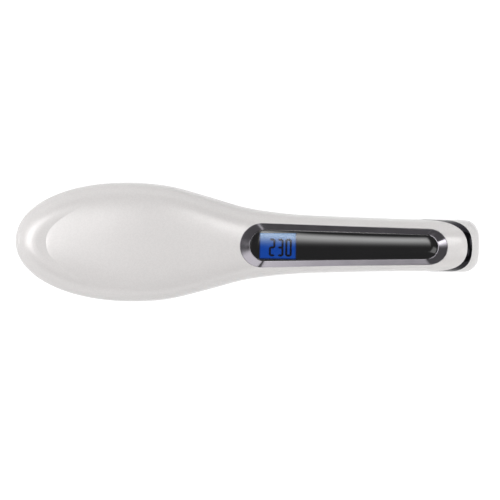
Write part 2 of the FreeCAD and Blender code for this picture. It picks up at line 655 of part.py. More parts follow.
def front_cover():
    """The cover with the comb head and keys: a shell below the seam, openings and bosses."""
    cover = shell().common(seam_side(-1))
    openings = [comb_prism(-COMB_GAP, (-FAR, COMB_FACE + COMB_SEAT)),
                comb_prism(-COMB_FLANGE - COMB_GAP, (COMB_FACE + COMB_SEAT, SEAM_Z)),
                key_slot(KEY_GAP)]
    cover = cut_all(cover, openings)
    pieces = [cover]
    pieces += [boss(x, y, BUTTON_BOARD_Z, BOARD_BOSS_RADIUS) for x, y in BUTTON_SCREWS]
    pieces += [boss(x, y, POWER_BOARD_Z, BOARD_BOSS_RADIUS) for x, y in POWER_SCREWS]
    pieces += [boss(x, 0.0, profile(SEAM, x), COVER_BOSS_RADIUS) for x in COVER_SCREWS]
    body = fused(pieces).common(box((-FAR, FAR), (-FAR, FAR), (0.0, FAR)))
    holes = [upright(SCREW_SHANK, x, y, (BUTTON_BOARD_TOP - BOARD_SCREW_LENGTH, FAR))
             for x, y in BUTTON_SCREWS]
    holes += [upright(SCREW_SHANK, x, y, (POWER_BOARD_TOP - BOARD_SCREW_LENGTH, FAR))
              for x, y in POWER_SCREWS]
    for x in COVER_SCREWS:
        holes.append(upright(SCREW_SHANK, x, 0.0, (-FAR, FAR)))
        holes.append(upright(SCREW_HEAD + SCREW_HEAD_GAP, x, 0.0, (-FAR, cover_screw_seat(x))))
    return cut_all(body, holes)


def screw_plugs():
    """The soft plugs that close the cover screws' recesses, flush with the handle's underside."""
    plugs = []
    for x in COVER_SCREWS:
        top = skin_bottom(x, 0.0) + PLUG_DEPTH
        plug = upright(SCREW_HEAD + SCREW_HEAD_GAP, x, 0.0, (-FAR, top)).common(skin(0.0))
        plugs.append(plug.common(box((-FAR, FAR), (-FAR, FAR), (0.0, FAR))))
    return Part.Compound(plugs)


def cover_screws():
    """The two long screws that hold the covers together."""
    return Part.Compound([screw(x, 0.0, cover_screw_seat(x), COVER_SCREW_LENGTH, 1)
                          for x in COVER_SCREWS])


def end_ring():
    """The bright slanting ring between the covers and the end cap."""
    band = skin(RING_PROUD).cut(skin(-WALL)).common(ring_slab(0.0, RING_WIDTH))
    return band.common(box((-FAR, FAR), (-FAR, FAR), (0.0, FAR)))


def end_cap():
    """The end of the handle: a slanting cap with a spigot and the hub that carries the swivel."""
    cap = layer(0.0, -WALL).common(ring_slab(RING_WIDTH, FAR))
    cap = cap.common(box((-FAR, FAR), (-FAR, FAR), (0.0, FAR)))
    inner = skin(-WALL - SPIGOT_GAP - SPIGOT_WALL)
    reach = skin(-WALL - SPIGOT_GAP).cut(inner).common(ring_slab(-SPIGOT_DEPTH, RING_WIDTH))
    root = skin(-WALL + SPIGOT_GAP).cut(inner).common(ring_slab(RING_WIDTH, RING_WIDTH + SPIGOT_WALL))
    hub = lengthwise(HUB_RADIUS, (RETAINER_X[0], END_X), 0.0, SWIVEL_Z).common(skin(-SPIGOT_GAP))
    body = fused([cap, reach, root, hub])
    bore = lengthwise(JOURNAL_RADIUS + JOURNAL_GAP, (HUB_MOUTH - 1, END_X + 1), 0.0, SWIVEL_Z)
    recess = lengthwise(HUB_RADIUS - HUB_WALL, (RETAINER_X[0] - 1, HUB_MOUTH), 0.0, SWIVEL_Z)
    return cut_all(body, [bore, recess])


# ---------------------------------------------------------------- display panel
def panel_bezel():
    """The bright surround of the panel, sloping down to the lens."""
    frame = layer(BEZEL_PROUD, -WALL).common(panel_slot()).cut(lens_slot())
    inner = [edge for edge in frame.Edges if is_inner_rim(edge)]
    return frame.makeChamfer(BEZEL_CHAMFER, inner)


def is_inner_rim(edge):
    """Tell whether an edge of the bezel is on its upper inner rim."""
    low, high = edge.ParameterRange
    point = edge.valueAt((low + high) / 2)
    on_top = abs(point.z - skin_top(point.x, point.y, BEZEL_PROUD)) < WALL / 4
    beside = lens_slot(BEZEL_SIDE / 4)
    return on_top and beside.isInside(point, BEZEL_GAP, True)


def panel_lens():
    """The dark curved window over the display and the rest of the panel."""
    return layer(-LENS_SUNK, -WALL).common(lens_slot(-BEZEL_GAP))


def display_box(margin, z):
    """Return a box over the display's window, with a margin all round."""
    return box((DISPLAY_X[0] - margin, DISPLAY_X[1] + margin),
               (-DISPLAY_HALF_WIDTH - margin, DISPLAY_HALF_WIDTH + margin), z)


def lcd_glass():
    """The display's cell."""
    return display_box(0.0, (HOLDER_TOP, DISPLAY_TOP))


def lcd_frame():
    """The holder between the display's cell and its board."""
    holder = display_box(HOLDER_WALL / 2, (DISPLAY_BOARD_TOP, HOLDER_TOP))
    return holder.cut(display_box(-HOLDER_WALL / 2, (DISPLAY_BOARD_TOP + HOLDER_WALL, FAR)))


def lcd_backlight():
    """The light guide inside the holder."""
    return display_box(-HOLDER_WALL / 2, (DISPLAY_BOARD_TOP + HOLDER_WALL, HOLDER_TOP))


def holed_board(x, half_width, z, places):
    """Return a circuit board with its screw holes."""
    board = box(x, (-half_width, half_width), (z, z + BOARD))
    return cut_all(board, [upright(SCREW_SHANK, px, py, (z - 1, z + BOARD + 1)) for px, py in places])


def display_board():
    """The board behind the display."""
    return holed_board(DISPLAY_BOARD_X, DISPLAY_BOARD_HALF_WIDTH, DISPLAY_BOARD_TOP - BOARD,
                       DISPLAY_SCREWS)


def driver_chip():
    """The controller on the underside of the display's board."""
    middle = (DISPLAY_X[0] + DISPLAY_X[1]) / 2
    under = DISPLAY_BOARD_TOP - BOARD
    return box((middle - 5, middle + 5), (-4, 4), (under - 1.4, under))


def ribbon_cable():
    """The flat cable that joins the display's board to the button board, in one loop."""
    upper = DISPLAY_BOARD_TOP - BOARD
    radius = (upper - BUTTON_BOARD_TOP) / 2
    end = min(BUTTON_BOARD_X[0], DISPLAY_BOARD_X[0]) + RIBBON_OVERLAP / 2
    width = (-RIBBON_HALF_WIDTH, RIBBON_HALF_WIDTH)
    centre = Vector(end, width[0], BUTTON_BOARD_TOP + radius)
    loop = Part.makeCylinder(radius, width[1] - width[0], centre, Vector(0, 1, 0))
    hollow = Part.makeCylinder(radius - RIBBON_SHEET, width[1] - width[0], centre, Vector(0, 1, 0))
    bend = loop.cut(hollow).common(box((-FAR, end), (-FAR, FAR), (-FAR, FAR)))
    flats = [box((end, BUTTON_BOARD_X[0] + RIBBON_OVERLAP), width,
                 (BUTTON_BOARD_TOP, BUTTON_BOARD_TOP + RIBBON_SHEET)),
             box((end, DISPLAY_BOARD_X[0] + RIBBON_OVERLAP), width, (upper - RIBBON_SHEET, upper))]
    return fused([bend] + flats)


# ---------------------------------------------------------------- keys
def key_slot(grow=0.0):
    """Return the tall prism of the keys' inset, grown all round, through the underside only."""
    radius = INSET_RADIUS + grow
    ends = [(x, radius) for x in (KEY_XS[0], KEY_XS[-1])]
    return slot(*ends, (-FAR, STEM_TOP))


def key_bezel():
    """The black inset around the keys, held from inside by its flange."""
    face = layer(0.0, -WALL).common(key_slot())
    flange = layer(-WALL, -WALL - INSET_FLANGE).common(key_slot(INSET_LIP))
    holes = [upright(KEY_RADIUS + KEY_GAP, x, 0.0, (-FAR, FAR)) for x in KEY_XS]
    return cut_all(fused([face, flange]), holes)


def key(x):
    """Return one key: a cap that follows the underside, a flange behind the inset and a stem."""
    cap_reach = KEY_RADIUS + KEY_FLANGE
    behind = max(skin_bottom(x + step, 0.0, -WALL - INSET_FLANGE) for step in (-cap_reach, cap_reach))
    flange_z = behind + KEY_FLANGE_GAP
    cap = upright(KEY_RADIUS, x, 0.0, (-FAR, flange_z)).common(skin(KEY_PROUD))
    flange = upright(cap_reach, x, 0.0, (flange_z, flange_z + KEY_FLANGE))
    stem = upright(KEY_STEM_RADIUS, x, 0.0, (flange_z, STEM_TOP))
    return fused([cap, flange, stem])


def switch_body(x):
    """Return one key switch under the button board, open for its plunger."""
    body = box((x - SWITCH_HALF, x + SWITCH_HALF), (-SWITCH_HALF, SWITCH_HALF), (SWITCH_Z, BUTTON_BOARD_Z))
    return body.cut(upright(PLUNGER_RADIUS + KEY_GAP, x, 0.0, (SWITCH_Z - 1, SWITCH_Z + 2 * KEY_TRAVEL)))


def plunger(x):
    """Return one switch plunger, which moves with its key."""
    return upright(PLUNGER_RADIUS, x, 0.0, (STEM_TOP, SWITCH_Z + KEY_TRAVEL / 2))


def button_board():
    """The board that carries the key switches."""
    return holed_board(BUTTON_BOARD_X, BUTTON_BOARD_HALF_WIDTH, BUTTON_BOARD_Z, BUTTON_SCREWS)


def board_screws():
    """The small screws of all three boards and of the contact block."""
    screws = [screw(x, y, DISPLAY_BOARD_TOP - BOARD, BOARD_SCREW_LENGTH, 1) for x, y in DISPLAY_SCREWS]
    screws += [screw(x, y, BUTTON_BOARD_TOP, BOARD_SCREW_LENGTH, -1) for x, y in BUTTON_SCREWS]
    screws += [screw(x, y, POWER_BOARD_TOP, BOARD_SCREW_LENGTH, -1) for x, y in POWER_SCREWS]
    screws += [screw(x, y, BLOCK_Z[1] - BLOCK_FLANGE, BOARD_SCREW_LENGTH, 1) for x, y in BLOCK_SCREWS]
    return Part.Compound(screws)


# ---------------------------------------------------------------- power board
def power_board():
    """The board that switches the mains to the heaters."""
    return holed_board(POWER_BOARD_X, POWER_BOARD_HALF_WIDTH, POWER_BOARD_Z, POWER_SCREWS)


def on_power_board(along, width, y, height):
    """Return a box that stands on the power board, along a (start, end) range from its edge."""
    x0 = POWER_BOARD_X[0]
    return box((x0 + along[0], x0 + along[1]), (y - width / 2, y + width / 2),
               (POWER_BOARD_TOP, POWER_BOARD_TOP + height))


def terminal_blocks():
    """The clamps for the heater leads, near the head, and for the mains leads, near the end."""
    between_screws = 2 * (POWER_BOARD_HALF_WIDTH - BOARD_EDGE - SCREW_HEAD - BOARD_GAP)
    tail = POWER_BOARD_LENGTH - TERMINAL_LENGTH
    return Part.Compound([on_power_board((start, start + TERMINAL_LENGTH), between_screws, 0.0,
                                         TERMINAL_HEIGHT) for start in (0.0, tail)])


def film_capacitor():
    """The suppression capacitor."""
    return on_power_board((6.0, 18.0), 5.0, 7.2, 9.0)


def smoothing_capacitor():
    """The electrolytic capacitor, standing on the board."""
    return upright(3.3, POWER_BOARD_X[0] + 18.6, -4.5, (POWER_BOARD_TOP, POWER_BOARD_TOP + 9.0))


def triac():
    """The power switch, standing against its heatsink."""
    return on_power_board((6.0, 14.0), 3.0, -3.0, 10.0)


def triac_heatsink():
    """The plate with fins that cools the power switch."""
    back = on_power_board((5.6, 14.6), 1.2, -5.1, 11.0)
    fins = [on_power_board((start, start + 1.0), 3.3, -7.35, 11.0) for start in (5.6, 9.6, 13.6)]
    return fused([back] + fins)


def mains_fuse():
    """The wire fuse, lying on the board."""
    x0 = POWER_BOARD_X[0]
    return lengthwise(1.5, (x0 + 6.0, x0 + 15.0), 2.4, POWER_BOARD_TOP + 1.5)


# ---------------------------------------------------------------- comb head
def comb_frame():
    """The face between the bristles: a holed plate, a wall, a flange and the heat plate's rib."""
    seat = COMB_FACE + COMB_SEAT
    top = seat + COMB_FLANGE_THICK
    face = comb_prism(0.0, (COMB_FACE, FRAME_INNER))
    rim = [edge for edge in face.Edges if edge.BoundBox.ZMax < COMB_FACE + 0.1]
    face = face.makeFillet(COMB_EDGE_ROUND, rim)
    inside = comb_prism(COMB_WALL, (FRAME_INNER, FAR))
    wall = comb_prism(0.0, (FRAME_INNER, top)).cut(inside)
    flange = comb_prism(-COMB_FLANGE, (seat, top)).cut(inside)
    rib = comb_prism(PLATE_INSET - RIB_WIDTH / 2, (FRAME_INNER, PLATE_Z))
    rib = rib.cut(comb_prism(PLATE_INSET + RIB_WIDTH / 2, (FRAME_INNER - 1, FAR)))
    frame = fused([face, wall, flange, rib])
    span = (COMB_FACE - 1, PLATE_Z + 1)
    holes = [upright(PIN_ROOT_RADIUS + PIN_HOLE_GAP, x, y, span) for x, y in pin_places()]
    for x, y in FRAME_SCREWS:
        holes.append(upright(SCREW_SHANK, x, y, span))
        holes.append(upright(SCREW_HEAD + SCREW_HEAD_GAP, x, y, (COMB_FACE - 1, frame_screw_seat())))
    return cut_all(frame, holes)


def frame_screw_seat():
    """Return the height that the frame screws' heads sit against."""
    return COMB_FACE + FRAME_SCREW_SUNK + SCREW_HEAD_HEIGHT


def frame_screws():
    """The screws that hold the comb frame to the back cover's posts."""
    reach = FRAME_INNER + FRAME_SCREW_LENGTH - frame_screw_seat() - 0.5
    return Part.Compound([screw(x, y, frame_screw_seat(), reach, 1) for x, y in FRAME_SCREWS])


def heat_plate():
    """The aluminium plate that carries the heated bristles, drilled for the clamp's screws."""
    plate = comb_prism(PLATE_INSET, (PLATE_Z, PLATE_TOP))
    return cut_all(plate, [upright(SCREW_SHANK, x, 0.0, (PLATE_TOP - CLAMP_SCREW_BITE, FAR))
                           for x in clamp_screw_xs()])


def heated_bristles():
    """The tapered metal bristles."""
    foot = TIP_LIFT + TIP_RADIUS + TIP_CYLINDER
    outline = [(0.0, foot), (PIN_END_RADIUS, foot), (PIN_ROOT_RADIUS, PLATE_Z), (0.0, PLATE_Z)]
    return Part.Compound([turned(outline, x, y) for x, y in pin_places()])


def bristle_tips():
    """The rounded caps that keep the heated bristles off the scalp."""
    low = TIP_LIFT + TIP_RADIUS
    caps = []
    for x, y in pin_places():
        ball = Part.makeSphere(TIP_RADIUS, Vector(x, y, low))
        caps.append(fused([ball.cut(upright(FAR, x, y, (low, FAR))),
                           upright(TIP_RADIUS, x, y, (low, low + TIP_CYLINDER))]))
    return Part.Compound(caps)


def cool_bristles():
    """The unheated bristles at the ends of the rows, a little longer than the heated ones."""
    outline = [(0.0, 0.0), (COOL_END_RADIUS / 2, 0.0), (COOL_END_RADIUS, COOL_END_RADIUS / 2),
               (blend(COOL_SHOULDER / COMB_FACE, COOL_ROOT_RADIUS, COOL_END_RADIUS), COOL_SHOULDER),
               (COOL_ROOT_RADIUS, COMB_FACE), (0.0, COMB_FACE)]
    return Part.Compound([turned(outline, x, y) for x, y in cool_places()])


# ---------------------------------------------------------------- heating
HEATER_X = (from_tip(HEATER_FRONT), from_tip(HEATER_FRONT + HEATER_LENGTH))
HEATER_TOP = PLATE_TOP + HEATER_THICK
CLAMP_X = (HEATER_X[0] - CLAMP_OVERHANG, HEATER_X[1] + CLAMP_OVERHANG)
CLAMP_Z = HEATER_TOP + MICA
CLAMP_TOP = CLAMP_Z + CLAMP_THICK
SENSOR_X = CLAMP_X[1] + SENSOR_RADIUS + BOARD_GAP


def clamp_screw_xs():
    """Return the X of the clamp's screws, one past each end of the heaters."""
    return (CLAMP_X[0] + CLAMP_SCREW_EDGE, CLAMP_X[1] - CLAMP_SCREW_EDGE)


def ceramic_heaters():
    """The two ceramic heaters, side by side on the heat plate."""
    near = HEATER_SPACING / 2
    far = near + HEATER_WIDTH
    spans = ((near, far), (-far, -near))
    return Part.Compound([box(HEATER_X, span, (PLATE_TOP, HEATER_TOP)) for span in spans])


def mica_sheet():
    """The insulating sheet over the heaters."""
    half = HEATER_SPACING / 2 + HEATER_WIDTH
    return box(HEATER_X, (-half, half), (HEATER_TOP, CLAMP_Z))


def heater_clamp():
    """The steel plate that presses the heaters down."""
    plate = box(CLAMP_X, (-CLAMP_HALF_WIDTH, CLAMP_HALF_WIDTH), (CLAMP_Z, CLAMP_TOP))
    return cut_all(plate, [upright(SCREW_SHANK, x, 0.0, (0, FAR)) for x in clamp_screw_xs()])


def plate_screws():
    """The clamp's screws."""
    length = CLAMP_TOP - PLATE_TOP + CLAMP_SCREW_BITE
    return Part.Compound([screw(x, 0.0, CLAMP_TOP, length, -1) for x in clamp_screw_xs()])


def heat_shield():
    """The pressed tray that stands over the heaters, notched where the leads come in."""
    top = PLATE_TOP + SHIELD_HEIGHT
    outer = comb_prism(SHIELD_INSET, (PLATE_TOP, top))
    inner = comb_prism(SHIELD_INSET + SHIELD_SHEET, (PLATE_TOP - 1, top - SHIELD_SHEET))
    notch = box((HEATER_X[1] + CLAMP_OVERHANG / 2, FAR), (-8.5, 8.5), (PLATE_TOP - 1, top - 2))
    return outer.cut(inner).cut(notch)


def thermistor():
    """The temperature sensor, lying across the heat plate between the leads."""
    half = LEAD_HALF_SPACING - LEAD_RADIUS - BOARD_GAP / 4
    start = Vector(SENSOR_X, -half, PLATE_TOP + SENSOR_RADIUS)
    return Part.makeCylinder(SENSOR_RADIUS, 2 * half, start, Vector(0, 1, 0))


def thermal_fuse():
    """The thermal cut-out, lying on the heat plate past the clamp's rear screw."""
    start = HEATER_X[1] - FUSE_LENGTH - 1.0
    radius = min(FUSE_RADIUS, HEATER_SPACING / 2 - 0.1, HEATER_THICK / 2)
    return lengthwise(radius, (start, start + FUSE_LENGTH), 0.0, PLATE_TOP + radius)


def lead(points, y, radius):
    """Return a round lead through (x, z) points at y: straight runs joined by tangent arcs."""
    corners = [Vector(x, y, z) for x, z in points]
    edges = []
    start = corners[0]
    for before, at, after in zip(corners, corners[1:], corners[2:]):
        back = (before - at).normalize()
        on = (after - at).normalize()
        half = back.getAngle(on) / 2
        reach = LEAD_BEND / math.tan(half)
        enter = at + back * reach
        leave = at + on * reach
        centre = at + (back + on).normalize() * (LEAD_BEND / math.sin(half))
        crown = centre + (at - centre).normalize() * LEAD_BEND
        edges.append(Part.LineSegment(start, enter).toShape())
        edges.append(Part.Arc(enter, crown, leave).toShape())
        start = leave
    edges.append(Part.LineSegment(start, corners[-1]).toShape())
    circle = Part.Wire([Part.makeCircle(radius, corners[0], corners[1] - corners[0])])
    return Part.Wire(edges).makePipeShell([circle], True, False)


def lead_route(end_x, end_z):
    """Return the (x, z) points of a lead from the power board's terminals to the head."""
    high = BUTTON_BOARD_TOP + LEAD_LEVEL
    start = (POWER_BOARD_X[0], POWER_BOARD_TOP + TERMINAL_HEIGHT / 2)
    foot_x = start[0] - 2.0 * LEAD_BEND
    neck_x = COMB_X + COMB_REAR
    return [start, (foot_x, start[1]), (foot_x - LEAD_BEND, high), (neck_x + 4.0, high),
            (neck_x - 6.0, end_z), (end_x, end_z)]


def heater_leads():
    """The two leads that feed the heaters."""
    route = lead_route(HEATER_X[1], PLATE_TOP + HEATER_THICK / 2)
    return Part.Compound([lead(route, side * LEAD_HALF_SPACING, LEAD_RADIUS) for side in (-1, 1)])


def sensor_leads():
    """The two thin leads of the temperature sensor."""
    route = lead_route(SENSOR_X + SENSOR_RADIUS, PLATE_TOP + SENSOR_RADIUS)
    spacing = LEAD_HALF_SPACING - LEAD_RADIUS - SENSOR_LEAD_RADIUS - BOARD_GAP
    return Part.Compound([lead(route, side * spacing, SENSOR_LEAD_RADIUS) for side in (-1, 1)])


# ---------------------------------------------------------------- cord swivel
def swivel_gland():
    """The turning sleeve that takes the cord: journal, flange and shaft, with a blind bore."""
    journal = lengthwise(JOURNAL_RADIUS, (FLANGE_X[1], GLAND_END), 0.0, SWIVEL_Z)
    flange = lengthwise(GLAND_FLANGE_RADIUS, FLANGE_X, 0.0, SWIVEL_Z)
    core = lengthwise(CORE_RADIUS, CORE_X, 0.0, SWIVEL_Z)
    bore = lengthwise(INLET_RADIUS, (GLAND_END - INLET_DEPTH, END_X), 0.0, SWIVEL_Z)
    return fused([journal, flange, core]).cut(bore)


def slip_rings():
    """The two brass rings on the gland's shaft, the near one larger."""
    rings = [lengthwise(radius, span, 0.0, SWIVEL_Z).cut(lengthwise(CORE_RADIUS, span, 0.0, SWIVEL_Z))
             for span, radius in zip(RING_X, RING_RADII)]
    return Part.Compound(rings)


def gland_retainer():
    """The ring pressed into the hub behind the gland's flange."""
    ring = lengthwise(HUB_RADIUS - HUB_WALL, RETAINER_X, 0.0, SWIVEL_Z)
    return ring.cut(lengthwise(CORE_RADIUS + RETAINER_GAP, RETAINER_X, 0.0, SWIVEL_Z))


def contact_springs():
    """The two spring contacts, one over the small ring and one under the large ring."""
    small = SWIVEL_Z + SLIP_RING_SMALL + CONTACT_GAP
    large = SWIVEL_Z - SLIP_RING_LARGE - CONTACT_GAP
    width = (-CONTACT_HALF_WIDTH, CONTACT_HALF_WIDTH)
    return Part.Compound([box((BLOCK_X[1], RING_X[0][1]), width, (small, small + CONTACT_SHEET)),
                          box((BLOCK_X[1], RING_X[1][1]), width, (large - CONTACT_SHEET, large))])


def contact_block():
    """The insulating block that carries the contacts, hung from the back cover."""
    block = box(BLOCK_X, (-BLOCK_HALF_WIDTH, BLOCK_HALF_WIDTH), BLOCK_Z)
    flange = box((BLOCK_X[0] - BLOCK_FLANGE_REACH, BLOCK_X[1]), (-BLOCK_HALF_WIDTH, BLOCK_HALF_WIDTH),
                 (BLOCK_Z[1] - BLOCK_FLANGE, BLOCK_Z[1]))
    return cut_all(fused([block, flange]), [upright(SCREW_SHANK, x, y, (0, FAR)) for x, y in BLOCK_SCREWS])


def mains_leads():
    """The two leads from the contact block to the power board."""
    z = POWER_BOARD_TOP + TERMINAL_HEIGHT / 2
    side = COVER_BOSS_RADIUS + LEAD_RADIUS + BOSS_GAP
    return Part.Compound([lengthwise(LEAD_RADIUS, (POWER_BOARD_X[1], BLOCK_X[0]), y, z)
                          for y in (-side, side)])


# ---------------------------------------------------------------- writing
SUB_PARTS = {
    "back_cover": back_cover, "front_cover": front_cover, "cover_screws": cover_screws,
    "screw_plugs": screw_plugs, "end_ring": end_ring, "end_cap": end_cap,
    "panel_bezel": panel_bezel, "panel_lens": panel_lens, "lcd_glass": lcd_glass,
    "lcd_frame": lcd_frame, "lcd_backlight": lcd_backlight, "display_board": display_board,
    "driver_chip": driver_chip, "ribbon_cable": ribbon_cable, "key_bezel": key_bezel,
    "button_board": button_board, "board_screws": board_screws, "power_board": power_board,
    "terminal_blocks": terminal_blocks, "film_capacitor": film_capacitor,
    "smoothing_capacitor": smoothing_capacitor, "triac": triac, "triac_heatsink": triac_heatsink,
    "mains_fuse": mains_fuse, "comb_frame": comb_frame, "frame_screws": frame_screws,
    "heat_plate": heat_plate, "heated_bristles": heated_bristles, "bristle_tips": bristle_tips,
    "cool_bristles": cool_bristles, "ceramic_heaters": ceramic_heaters, "mica_sheet": mica_sheet,
    "heater_clamp": heater_clamp, "plate_screws": plate_screws, "heat_shield": heat_shield,
    "thermistor": thermistor, "thermal_fuse": thermal_fuse, "heater_leads": heater_leads,
    "sensor_leads": sensor_leads, "mains_leads": mains_leads, "swivel_gland": swivel_gland,
    "slip_rings": slip_rings, "gland_retainer": gland_retainer,
    "contact_springs": contact_springs, "contact_block": contact_block,
}


def main():
    """Build every sub-part and write it to its own STEP file."""
    os.makedirs("parts", exist_ok=True)
    shapes = {name: build() for name, build in SUB_PARTS.items()}
    for name, x in zip(KEY_NAMES, KEY_XS):
        shapes[name + "_button"] = key(x)
        shapes[name + "_plunger"] = plunger(x)
    shapes["switch_bodies"] = Part.Compound([switch_body(x) for x in KEY_XS])
    for name, shape in shapes.items():
        shape.exportStep("parts/" + name + ".step")
        print(name, len(shape.Solids), round(shape.Volume, 1), shape.isValid())


main()
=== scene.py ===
"""Looks of the hair straightening brush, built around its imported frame.

New pieces are modelled in millimetres in the frame's own axes: X along the brush from the head's
tip to the end of the handle, Y across it, Z up. They go into metres when their meshes are made.
Every other part keeps the frame's shape and gets a finish of its own.
"""

import logging
import math
from dataclasses import dataclass
from enum import Enum
from typing import Callable, Mapping, Sequence

import bmesh
import bpy
from mathutils import Matrix, Vector
from mathutils.bvhtree import BVHTree

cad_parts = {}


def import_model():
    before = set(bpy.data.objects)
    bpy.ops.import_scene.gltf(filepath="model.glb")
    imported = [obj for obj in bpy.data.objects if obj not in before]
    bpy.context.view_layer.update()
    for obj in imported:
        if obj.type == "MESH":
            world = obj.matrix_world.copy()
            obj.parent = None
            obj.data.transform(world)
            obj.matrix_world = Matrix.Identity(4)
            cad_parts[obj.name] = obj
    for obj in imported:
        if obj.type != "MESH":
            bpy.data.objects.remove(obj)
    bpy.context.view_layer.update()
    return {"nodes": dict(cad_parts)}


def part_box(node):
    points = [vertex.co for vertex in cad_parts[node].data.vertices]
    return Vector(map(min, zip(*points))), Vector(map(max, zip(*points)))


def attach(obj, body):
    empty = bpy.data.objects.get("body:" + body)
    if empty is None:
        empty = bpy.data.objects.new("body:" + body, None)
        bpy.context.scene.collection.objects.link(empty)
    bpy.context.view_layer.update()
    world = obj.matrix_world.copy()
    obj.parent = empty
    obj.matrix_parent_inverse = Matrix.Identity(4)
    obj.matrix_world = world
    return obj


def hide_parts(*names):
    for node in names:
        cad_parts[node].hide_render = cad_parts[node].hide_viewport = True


LOG = logging.getLogger("brush")
MM = 0.001
WELD_MM = 1e-4                    # points closer than this are one
Stations = Sequence[tuple[float, float]]
Nodes = Mapping[str, bpy.types.Object]


# ---------------------------------------------------------------- colours and nodes
def linear(code: str) -> tuple[float, float, float, float]:
    """Turn an sRGB hex colour into the linear colour that shaders take.

    Args:
        code: Six hex digits after a hash.

    Returns:
        Linear red, green and blue, and an alpha of 1.
    """
    levels = [int(code[i:i + 2], 16) / 255 for i in (1, 3, 5)]
    bent = [v / 12.92 if v <= 0.04045 else ((v + 0.055) / 1.055) ** 2.4 for v in levels]
    return (bent[0], bent[1], bent[2], 1.0)


def shaded(colour: tuple[float, float, float, float], share: float) -> tuple[float, ...]:
    """Return a linear colour made darker, or lighter above 1, by a share."""
    return (*[min(1.0, channel * share) for channel in colour[:3]], 1.0)


def add_node(tree: bpy.types.NodeTree, kind: str, values: Mapping | None = None,
             links: Mapping | None = None, **settings: object) -> bpy.types.Node:
    """Add one node with its settings, its sockets' values and its incoming links.

    Args:
        tree: The node tree to add to.
        kind: The node's type.
        values: Input socket, by name or number, to its value.
        links: Input socket, by name or number, to the output that feeds it.
        settings: Other properties of the node.

    Returns:
        The node.
    """
    node = tree.nodes.new(kind)
    for name, value in settings.items():
        setattr(node, name, value)
    for socket, value in (values or {}).items():
        node.inputs[socket].default_value = value
    for socket, source in (links or {}).items():
        tree.links.new(source, node.inputs[socket])
    return node


def falloff(tree: bpy.types.NodeTree, place: bpy.types.NodeSocket,
            spans: Sequence[tuple[float, float, float]]) -> bpy.types.NodeSocket:
    """Add nodes that give 1 inside a box and fade to 0 at its sides.

    Args:
        tree: The node tree to add to.
        place: The coordinates.
        spans: For each axis the box's middle, its half size and how far out the fade starts.

    Returns:
        The product of the fades along the axes.
    """
    axes = add_node(tree, "ShaderNodeSeparateXYZ", None, {0: place})
    fades = []
    for axis, (middle, half, start) in enumerate(spans):
        off = add_node(tree, "ShaderNodeMath", {1: middle}, {0: axes.outputs[axis]},
                       operation="SUBTRACT").outputs[0]
        away = add_node(tree, "ShaderNodeMath", None, {0: off}, operation="ABSOLUTE").outputs[0]
        fades.append(add_node(tree, "ShaderNodeMapRange", {"From Min": half, "From Max": start},
                              {"Value": away}, interpolation_type="SMOOTHSTEP").outputs[0])
    return add_node(tree, "ShaderNodeMath", None, dict(enumerate(fades)),
                    operation="MULTIPLY").outputs[0]


# ---------------------------------------------------------------- finishes
@dataclass(frozen=True)
class Canvas:
    """What a pattern is drawn on: a material's shader, over Object coordinates in metres."""

    tree: bpy.types.NodeTree
    shader: bpy.types.Node
    place: bpy.types.NodeSocket

    def noise(self, size_mm: float, detail: float = 2.0) -> bpy.types.NodeSocket:
        """Return soft noise whose features are about size_mm across."""
        return add_node(self.tree, "ShaderNodeTexNoise",
                        {"Scale": 1 / (size_mm * MM), "Detail": detail},
                        {"Vector": self.place}).outputs["Fac"]

    def cells(self, size_mm: float) -> tuple[bpy.types.Node, bpy.types.Node]:
        """Return cells about size_mm across, and the random channels that each cell has."""
        cells = add_node(self.tree, "ShaderNodeTexVoronoi", {"Scale": 1 / (size_mm * MM)},
                         {"Vector": self.place})
        return cells, add_node(self.tree, "ShaderNodeSeparateColor", None,
                               {0: cells.outputs["Color"]})

    def spread(self, source: bpy.types.NodeSocket, low: float,
               high: float) -> bpy.types.NodeSocket:
        """Return the source's middle range, 0.3 to 0.7, spread over low to high."""
        return add_node(self.tree, "ShaderNodeMapRange",
                        {"From Min": 0.3, "From Max": 0.7, "To Min": low, "To Max": high},
                        {"Value": source}).outputs["Result"]

    def tones(self, source: bpy.types.NodeSocket, dark: tuple[float, ...],
              light: tuple[float, ...]) -> bpy.types.NodeSocket:
        """Return the colour between dark and light that the source picks."""
        return add_node(self.tree, "ShaderNodeMix", {6: dark, 7: light}, {0: source},
                        data_type="RGBA").outputs[2]

    def paint(self, tone: bpy.types.NodeSocket, rough: bpy.types.NodeSocket) -> None:
        """Feed the shader's base colour and its roughness."""
        self.tree.links.new(tone, self.shader.inputs["Base Color"])
        self.tree.links.new(rough, self.shader.inputs["Roughness"])

    def relief(self, height: bpy.types.NodeSocket, depth_mm: float) -> None:
        """Raise the surface by the height socket, depth_mm at 1."""
        bump = add_node(self.tree, "ShaderNodeBump", {"Distance": depth_mm * MM},
                        {"Height": height})
        self.tree.links.new(bump.outputs["Normal"], self.shader.inputs["Normal"])


